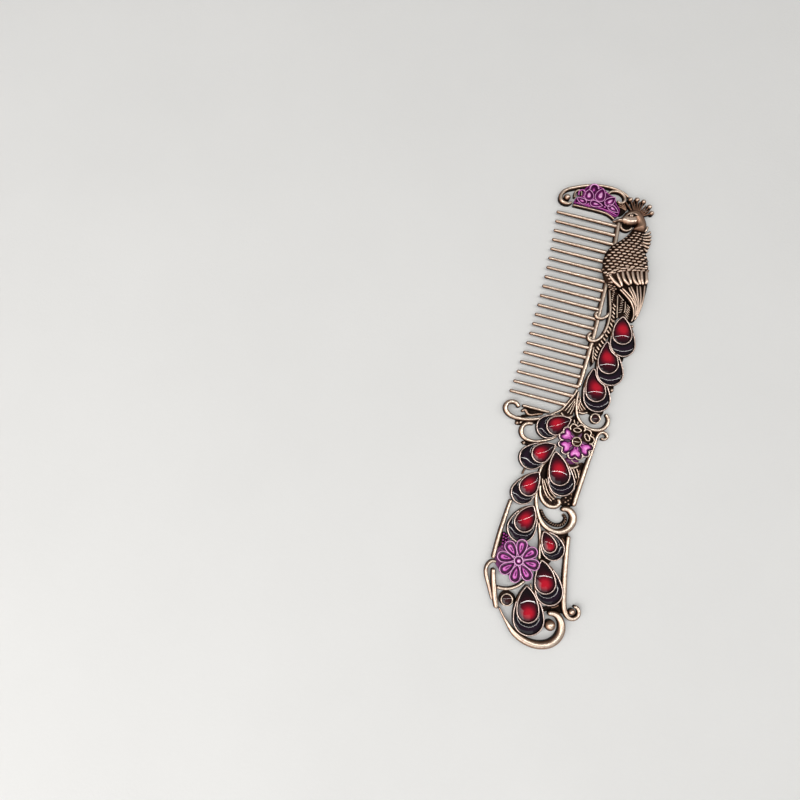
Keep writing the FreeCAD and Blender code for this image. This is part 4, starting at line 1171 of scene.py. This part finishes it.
# ---- drops ----
DROPS = {
    # the middle of the glow of light painted into each ruby
    "tail_1": (16.6, 30.4), "tail_2": (13.2, 18.6), "tail_3": (11.6, 6.4),
    "grip_1": (0.0, -10.2), "grip_2": (-3.4, -22.6), "grip_3": (-4.6, -34.6),
    "grip_4": (-3.0, -46.8), "grip_5": (4.6, -26.4), "grip_6": (7.6, -53.6),
    "grip_7": (8.4, -66.6), "grip_8": (5.0, -77.4),
}
GLOW_REACH = 3.8
GLOW_FALL = 1.6  # how fast the light goes out past that
SMALLEST_CRESCENT = 2  # square mm: what is less is a sliver
CLEAR_OF_REDS = 0.75  # a crescent has its own rim only this far from a red drop


def drops():
    """The poured drops and crescents, each inside a thin rim."""
    crescents, rims = Skin(), Skin()
    reds = []
    for name, bright in DROPS.items():
        red = Skin()
        loop = node_loops(f"red_drop_{name}")[0]

        # A painted pool of light round the drop's brightest point, weaker near its edge.
        def lit(points, depth, bright=bright):
            near = np.exp(-(((points - bright) / GLOW_REACH) ** 2).sum(1) * GLOW_FALL)
            return np.clip(near * (0.35 + 0.65 * np.clip(depth / 1.2, 0, 1)) * 1.08, 0, 1)

        dome(red, loop, ENAMEL_EDGE, RUBY_RISE, 2.6, 1.0, 0.35, glow=lit, poured=True)
        red.build(f"red_drop_{name}_fine", ruby, [f"red_drop_{name}"])
        hoop(rims, grown(loop, 0.25), RIM_W, RIM_BASE, 0.3)
        reds.append(loop)
    reds = np.vstack(reds)
    for loop in node_loops("dark_crescents"):
        if abs(area(loop)) < SMALLEST_CRESCENT:
            continue
        # lighter towards the middle: a painted glow of light in the dark enamel
        dome(crescents, loop, ENAMEL_EDGE, CRESCENT_RISE, 1.1, 1.0, 0.3,
             glow=lambda p, d: np.clip(d / 1.3, 0, 1), poured=True)
        edge = grown(loop, 0.25)
        clear = np.array([np.hypot(*(reds - point).T).min() > CLEAR_OF_REDS for point in edge])
        starts = [i for i in range(len(edge)) if clear[i] and not clear[i - 1]]
        for start in starts:
            run = []
            while clear[(start + len(run)) % len(edge)] and len(run) < len(edge):
                run.append(edge[(start + len(run)) % len(edge)])
            if len(run) > 8:
                wire(rims, even(run[:-1:3] + [run[-1]], RIM_W), 0.3, RIM_BASE)
    crescents.build("dark_crescents_fine", aubergine, ["dark_crescents"])
    rims.build("collet_rims", rim_copper)


# ---- small parts of the grip ----
CABOCHONS = ((13.7, -4.9, 2.0, 1.4), (-3.1, -75.2, 2.2, 1.7))


def cabochons():
    """The two small stones in their cups."""
    stones, cups = Skin(), Skin()
    for x, y, ring_r, stone_r in CABOCHONS:
        seat, middle = stone_r + 0.1, (ring_r + stone_r) / 2
        # the stone is painted lighter towards its middle: a painted glow of light
        dome(stones, oval(x, y, 0, seat, seat, 40), 1.8, 0.6, stone_r, 0.9, 0.15,
             glow=lambda p, d: np.clip(d / 1.2, 0, 1), poured=True)
        hoop(cups, oval(x, y, 0, middle, middle, 44), ring_r - stone_r, 0.0, 1.8)
    stones.build("cabochons_fine", garnet, ["cabochons"])
    cups.build("cabochon_cups_fine", antique, ["cabochon_cups"])


STRANDS = (
    # leaf fan beside the guard
    [(5.0, 0.4), (3.8, -2.2), (2.4, -5.0)], [(5.2, -0.2), (4.4, -2.8), (3.4, -5.6)],
    [(5.4, -0.8), (5.1, -3.2), (4.5, -5.8)],
    # leaf fan beside the ring scroll
    [(6.6, 1.8), (7.4, -0.4), (9.6, -2.6)], [(6.5, 0.4), (7.2, -1.6), (8.7, -3.2)],
    [(6.5, -1.0), (7.0, -2.6), (7.9, -3.7)],
    # strands above the upper flower
    [(5.2, -7.5), (5.0, -8.3), (4.9, -9.0)], [(6.3, -7.2), (6.6, -7.9), (6.8, -8.6)],
    [(7.7, -7.6), (7.9, -8.2), (8.0, -8.8)],
    # the second scroll's ribs
    [(-0.3, -31.0), (0.8, -34.0), (2.9, -36.9), (4.8, -38.2)],
    [(0.4, -31.4), (1.8, -34.0), (3.8, -36.4), (5.6, -37.4)],
    [(1.0, -30.8), (2.6, -33.4), (4.6, -35.6), (6.2, -36.4)],
    # below the upper flower
    [(4.0, -21.2), (5.6, -22.9), (8.0, -23.8)], [(8.4, -22.0), (10.0, -22.6), (11.4, -22.2)],
    [(9.6, -24.8), (10.8, -26.4), (11.6, -28.2)], [(10.8, -24.4), (11.9, -26.0), (12.4, -27.8)],
    # between the last two drops
    [(2.8, -68.5), (3.4, -70.2), (4.2, -71.7)], [(3.8, -67.8), (4.4, -69.3), (5.3, -70.5)],
)
FAN_RIMS = (
    [(1.1, -5.8, 0.7), (2.2, -6.9, 0.8), (4.2, -7.0, 0.8), (5.6, -6.2, 0.7)],
    [(-0.5, -33.6, 0.8), (0.3, -36.8, 1.0), (2.2, -39.2, 1.2), (4.8, -40.1, 1.4),
     (6.9, -39.3, 1.6), (7.4, -37.8, 1.5), (6.5, -36.7, 1.2)],
    [(3.1, -20.6, 0.7), (4.6, -23.0, 0.8), (6.8, -24.5, 0.9), (9.4, -24.7, 0.9),
     (11.6, -23.2, 0.8)],
)
BEADING = [
    (1.8, -42.0, 1.2), (3.6, -44.3, 1.3), (6.0, -45.7, 1.4), (8.6, -45.9, 1.5),
    (10.6, -44.6, 1.5), (10.9, -42.6, 1.3), (9.8, -41.6, 1.1),
]


def leaf_fans():
    """Rims round the leaf fans, and the strands and beads on them."""
    rims, strands = Skin(), Skin()
    for rim in FAN_RIMS:
        wire(rims, [(x, y, w * 1.1) for x, y, w in rim], WIRE_WALL + 0.15)
    rims.build("leaf_rims", antique)
    for strand in STRANDS:
        wire(strands, even(strand, 0.5), 0.3, PLATE_TOP - 0.1, 0.25)
    for x, y in ((9.4, -35.6), (10.4, -36.4), (9.6, -37.2), (11.2, -35.4), (10.8, -37.6)):
        ball(strands, x, y, 0.4, 1.3)
    strands.build("leaf_strands", antique)


def beading():
    """The dark band inside the big scroll, struck with slanting ticks."""
    band, ticks = Skin(), Skin()
    wire(band, BEADING, 0.6, glow=0.1)
    band.build("scroll_beading_fine", oxidised, ["scroll_beading"])
    line = spline(BEADING, 0.85)
    for (x, y, width), (tx, ty) in zip(line, tangents(line[:, :2])):
        angle = math.degrees(math.atan2(ty, tx)) + 62
        bump(ticks, x, y, 1.15, angle, width * 0.95, 0.42, 0.5)
    ticks.build("scroll_ticks", antique)


LEFT_OUT = ((-6.6, -30.5), (-10.8, -54.0), (-11.7, -56.8))  # webs that would show outside the outline
LEFT_OUT_REACH = 1.6
LINKS = (
    [(-6.9, -29.0), (-7.3, -30.4), (-7.4, -31.4)], [(8.9, -30.6), (10.2, -32.2), (11.4, -34.4)],
    [(12.4, -24.6), (12.5, -27.6), (12.3, -30.4)], [(11.0, -49.8), (12.0, -50.6), (12.6, -51.6)],
    [(12.6, -73.9), (13.8, -73.4), (15.0, -72.4)], [(12.0, -10.4), (13.6, -10.6), (15.0, -11.2)],
)


def webs():
    """The thin lumpy webs that close the casting's small gaps, and a few links across them."""
    skin, links = Skin(), Skin()
    for loop in node_loops("casting_web"):
        if min(np.hypot(*(loop.mean(0) - spot)) for spot in LEFT_OUT) > LEFT_OUT_REACH:
            dome(skin, loop, 0.85, 0.15, 0.8, 0.0, 0.4)
    skin.build("casting_web_fine", oxidised, ["casting_web"])
    for link in LINKS:
        wire(links, even(link, 0.6), 0.9)
    links.build("web_links", antique)


# ---- CAD nodes that stay, with their finish ----
def keep(nodes, material):
    for node in nodes:
        piece = frame["nodes"][node]
        piece.data.materials.clear()
        piece.data.materials.append(material)


random.seed(11)
teeth()
wires()
studs()
body()
head()
plumage()
wing()
tail()
lotus()
lower_flower()
upper_flower()
drops()
cabochons()
leaf_fans()
beading()
webs()
keep([f"collet_{name}" for name in DROPS], collet_copper)
keep(["tail_web", "leaf_fans"], oxidised)


# ---- floor, lights and camera ----
FLOOR_SIZE = 6.0
FOCAL_MM = 25.895
SENSOR_MM = 36.0
TURN = Vector((2.9514, 0.3881, -0.0262))  # the picture's right, down and away axes, as one turn
CAMERA_AT = (-48.967, -50.700, 210.49)
MIDDLE = (2.0, 0.0, 2.0)
TUBE_FAR = 1.5  # metres from the comb's middle
TUBE_SHARE = -0.14  # how far along the comb the tube hangs, as a share of that distance
TUBE_WATTS = 16.0
WINDOW_WATTS = 4.7
FILL_WATTS = 1.5
SOFT_SIZE = 0.8


def floor():
    """A plain pale card under the comb."""
    mesh = bpy.data.meshes.new("floor")
    half = FLOOR_SIZE / 2
    corners = [(-half, -half, 0), (half, -half, 0), (half, half, 0), (-half, half, 0)]
    mesh.from_pydata(corners, [], [(0, 1, 2, 3)])
    material, tree, shader = surface("floor_card")
    tones = [(0.0, (0.77, 0.77, 0.76)), (1.0, (0.83, 0.83, 0.82))]
    tree.links.new(ramp(tree, noise(tree, 14.0), tones), shader.inputs["Base Color"])
    shader.inputs["Roughness"].default_value = 0.75
    bumped(tree, shader, noise(tree, 900.0, 4.0), 0.00006)
    mesh.materials.append(material)
    placed("floor", mesh)


def lamp(name, at, target, size, size_y, watts, colour, right):
    """An area lamp that faces its target, its long side along right."""
    light = bpy.data.lights.new(name, "AREA")
    light.shape = "RECTANGLE"
    light.size, light.size_y = size, size_y
    light.energy = watts
    light.color = colour
    piece = placed(name, light)
    at, target = Vector(at), Vector(target)
    back = (at - target).normalized()
    side = (Vector(right) - back * back.dot(Vector(right))).normalized()
    up = back.cross(side)
    piece.matrix_world = Matrix.Translation(at) @ Matrix((side, up, back)).transposed().to_4x4()


def camera_and_lights():
    """The photograph's viewpoint, one long narrow tube and two soft lamps."""
    turn = Quaternion(TURN.normalized(), TURN.length).to_matrix()
    right, down, away = turn[0], turn[1], turn[2]
    camera = bpy.data.cameras.new("camera")
    camera.lens, camera.sensor_width = FOCAL_MM, SENSOR_MM
    camera.clip_start = 0.01
    piece = placed("camera", camera)
    at = Vector(world([CAMERA_AT])[0])
    axes = Matrix((right, -Vector(down), -Vector(away))).transposed().to_4x4()
    piece.matrix_world = Matrix.Translation(at) @ axes
    bpy.context.scene.camera = piece
    middle = Vector(world([MIDDLE])[0])
    to_camera = (at - middle).normalized()
    mirrored = Vector((-to_camera.x, -to_camera.y, to_camera.z))
    up = -Vector(down)
    over = middle + mirrored * TUBE_FAR + Vector((0.12, 0.95, 0)).normalized() * TUBE_SHARE * TUBE_FAR
    lamp("tube", over, middle, 4.0, 0.045, TUBE_WATTS, (1.0, 0.98, 0.95), right)
    lamp("window", middle - Vector(right) * 0.55 - up * 0.45 + Vector((0, 0, 0.55)), middle,
         SOFT_SIZE, SOFT_SIZE, WINDOW_WATTS, (1.0, 0.98, 0.96), right)
    lamp("fill", middle - up * 0.9 + Vector((0, 0, 0.8)), middle, SOFT_SIZE, SOFT_SIZE, FILL_WATTS,
         (0.97, 0.98, 1.0), right)
    world_light = bpy.data.worlds.new("studio")
    world_light.use_nodes = True
    background = world_light.node_tree.nodes["Background"]
    background.inputs["Color"].default_value = (0.80, 0.81, 0.82, 1.0)
    background.inputs["Strength"].default_value = 0.25
    bpy.context.scene.world = world_light
    bpy.context.scene.view_settings.view_transform = "Standard"


floor()
camera_and_lights()
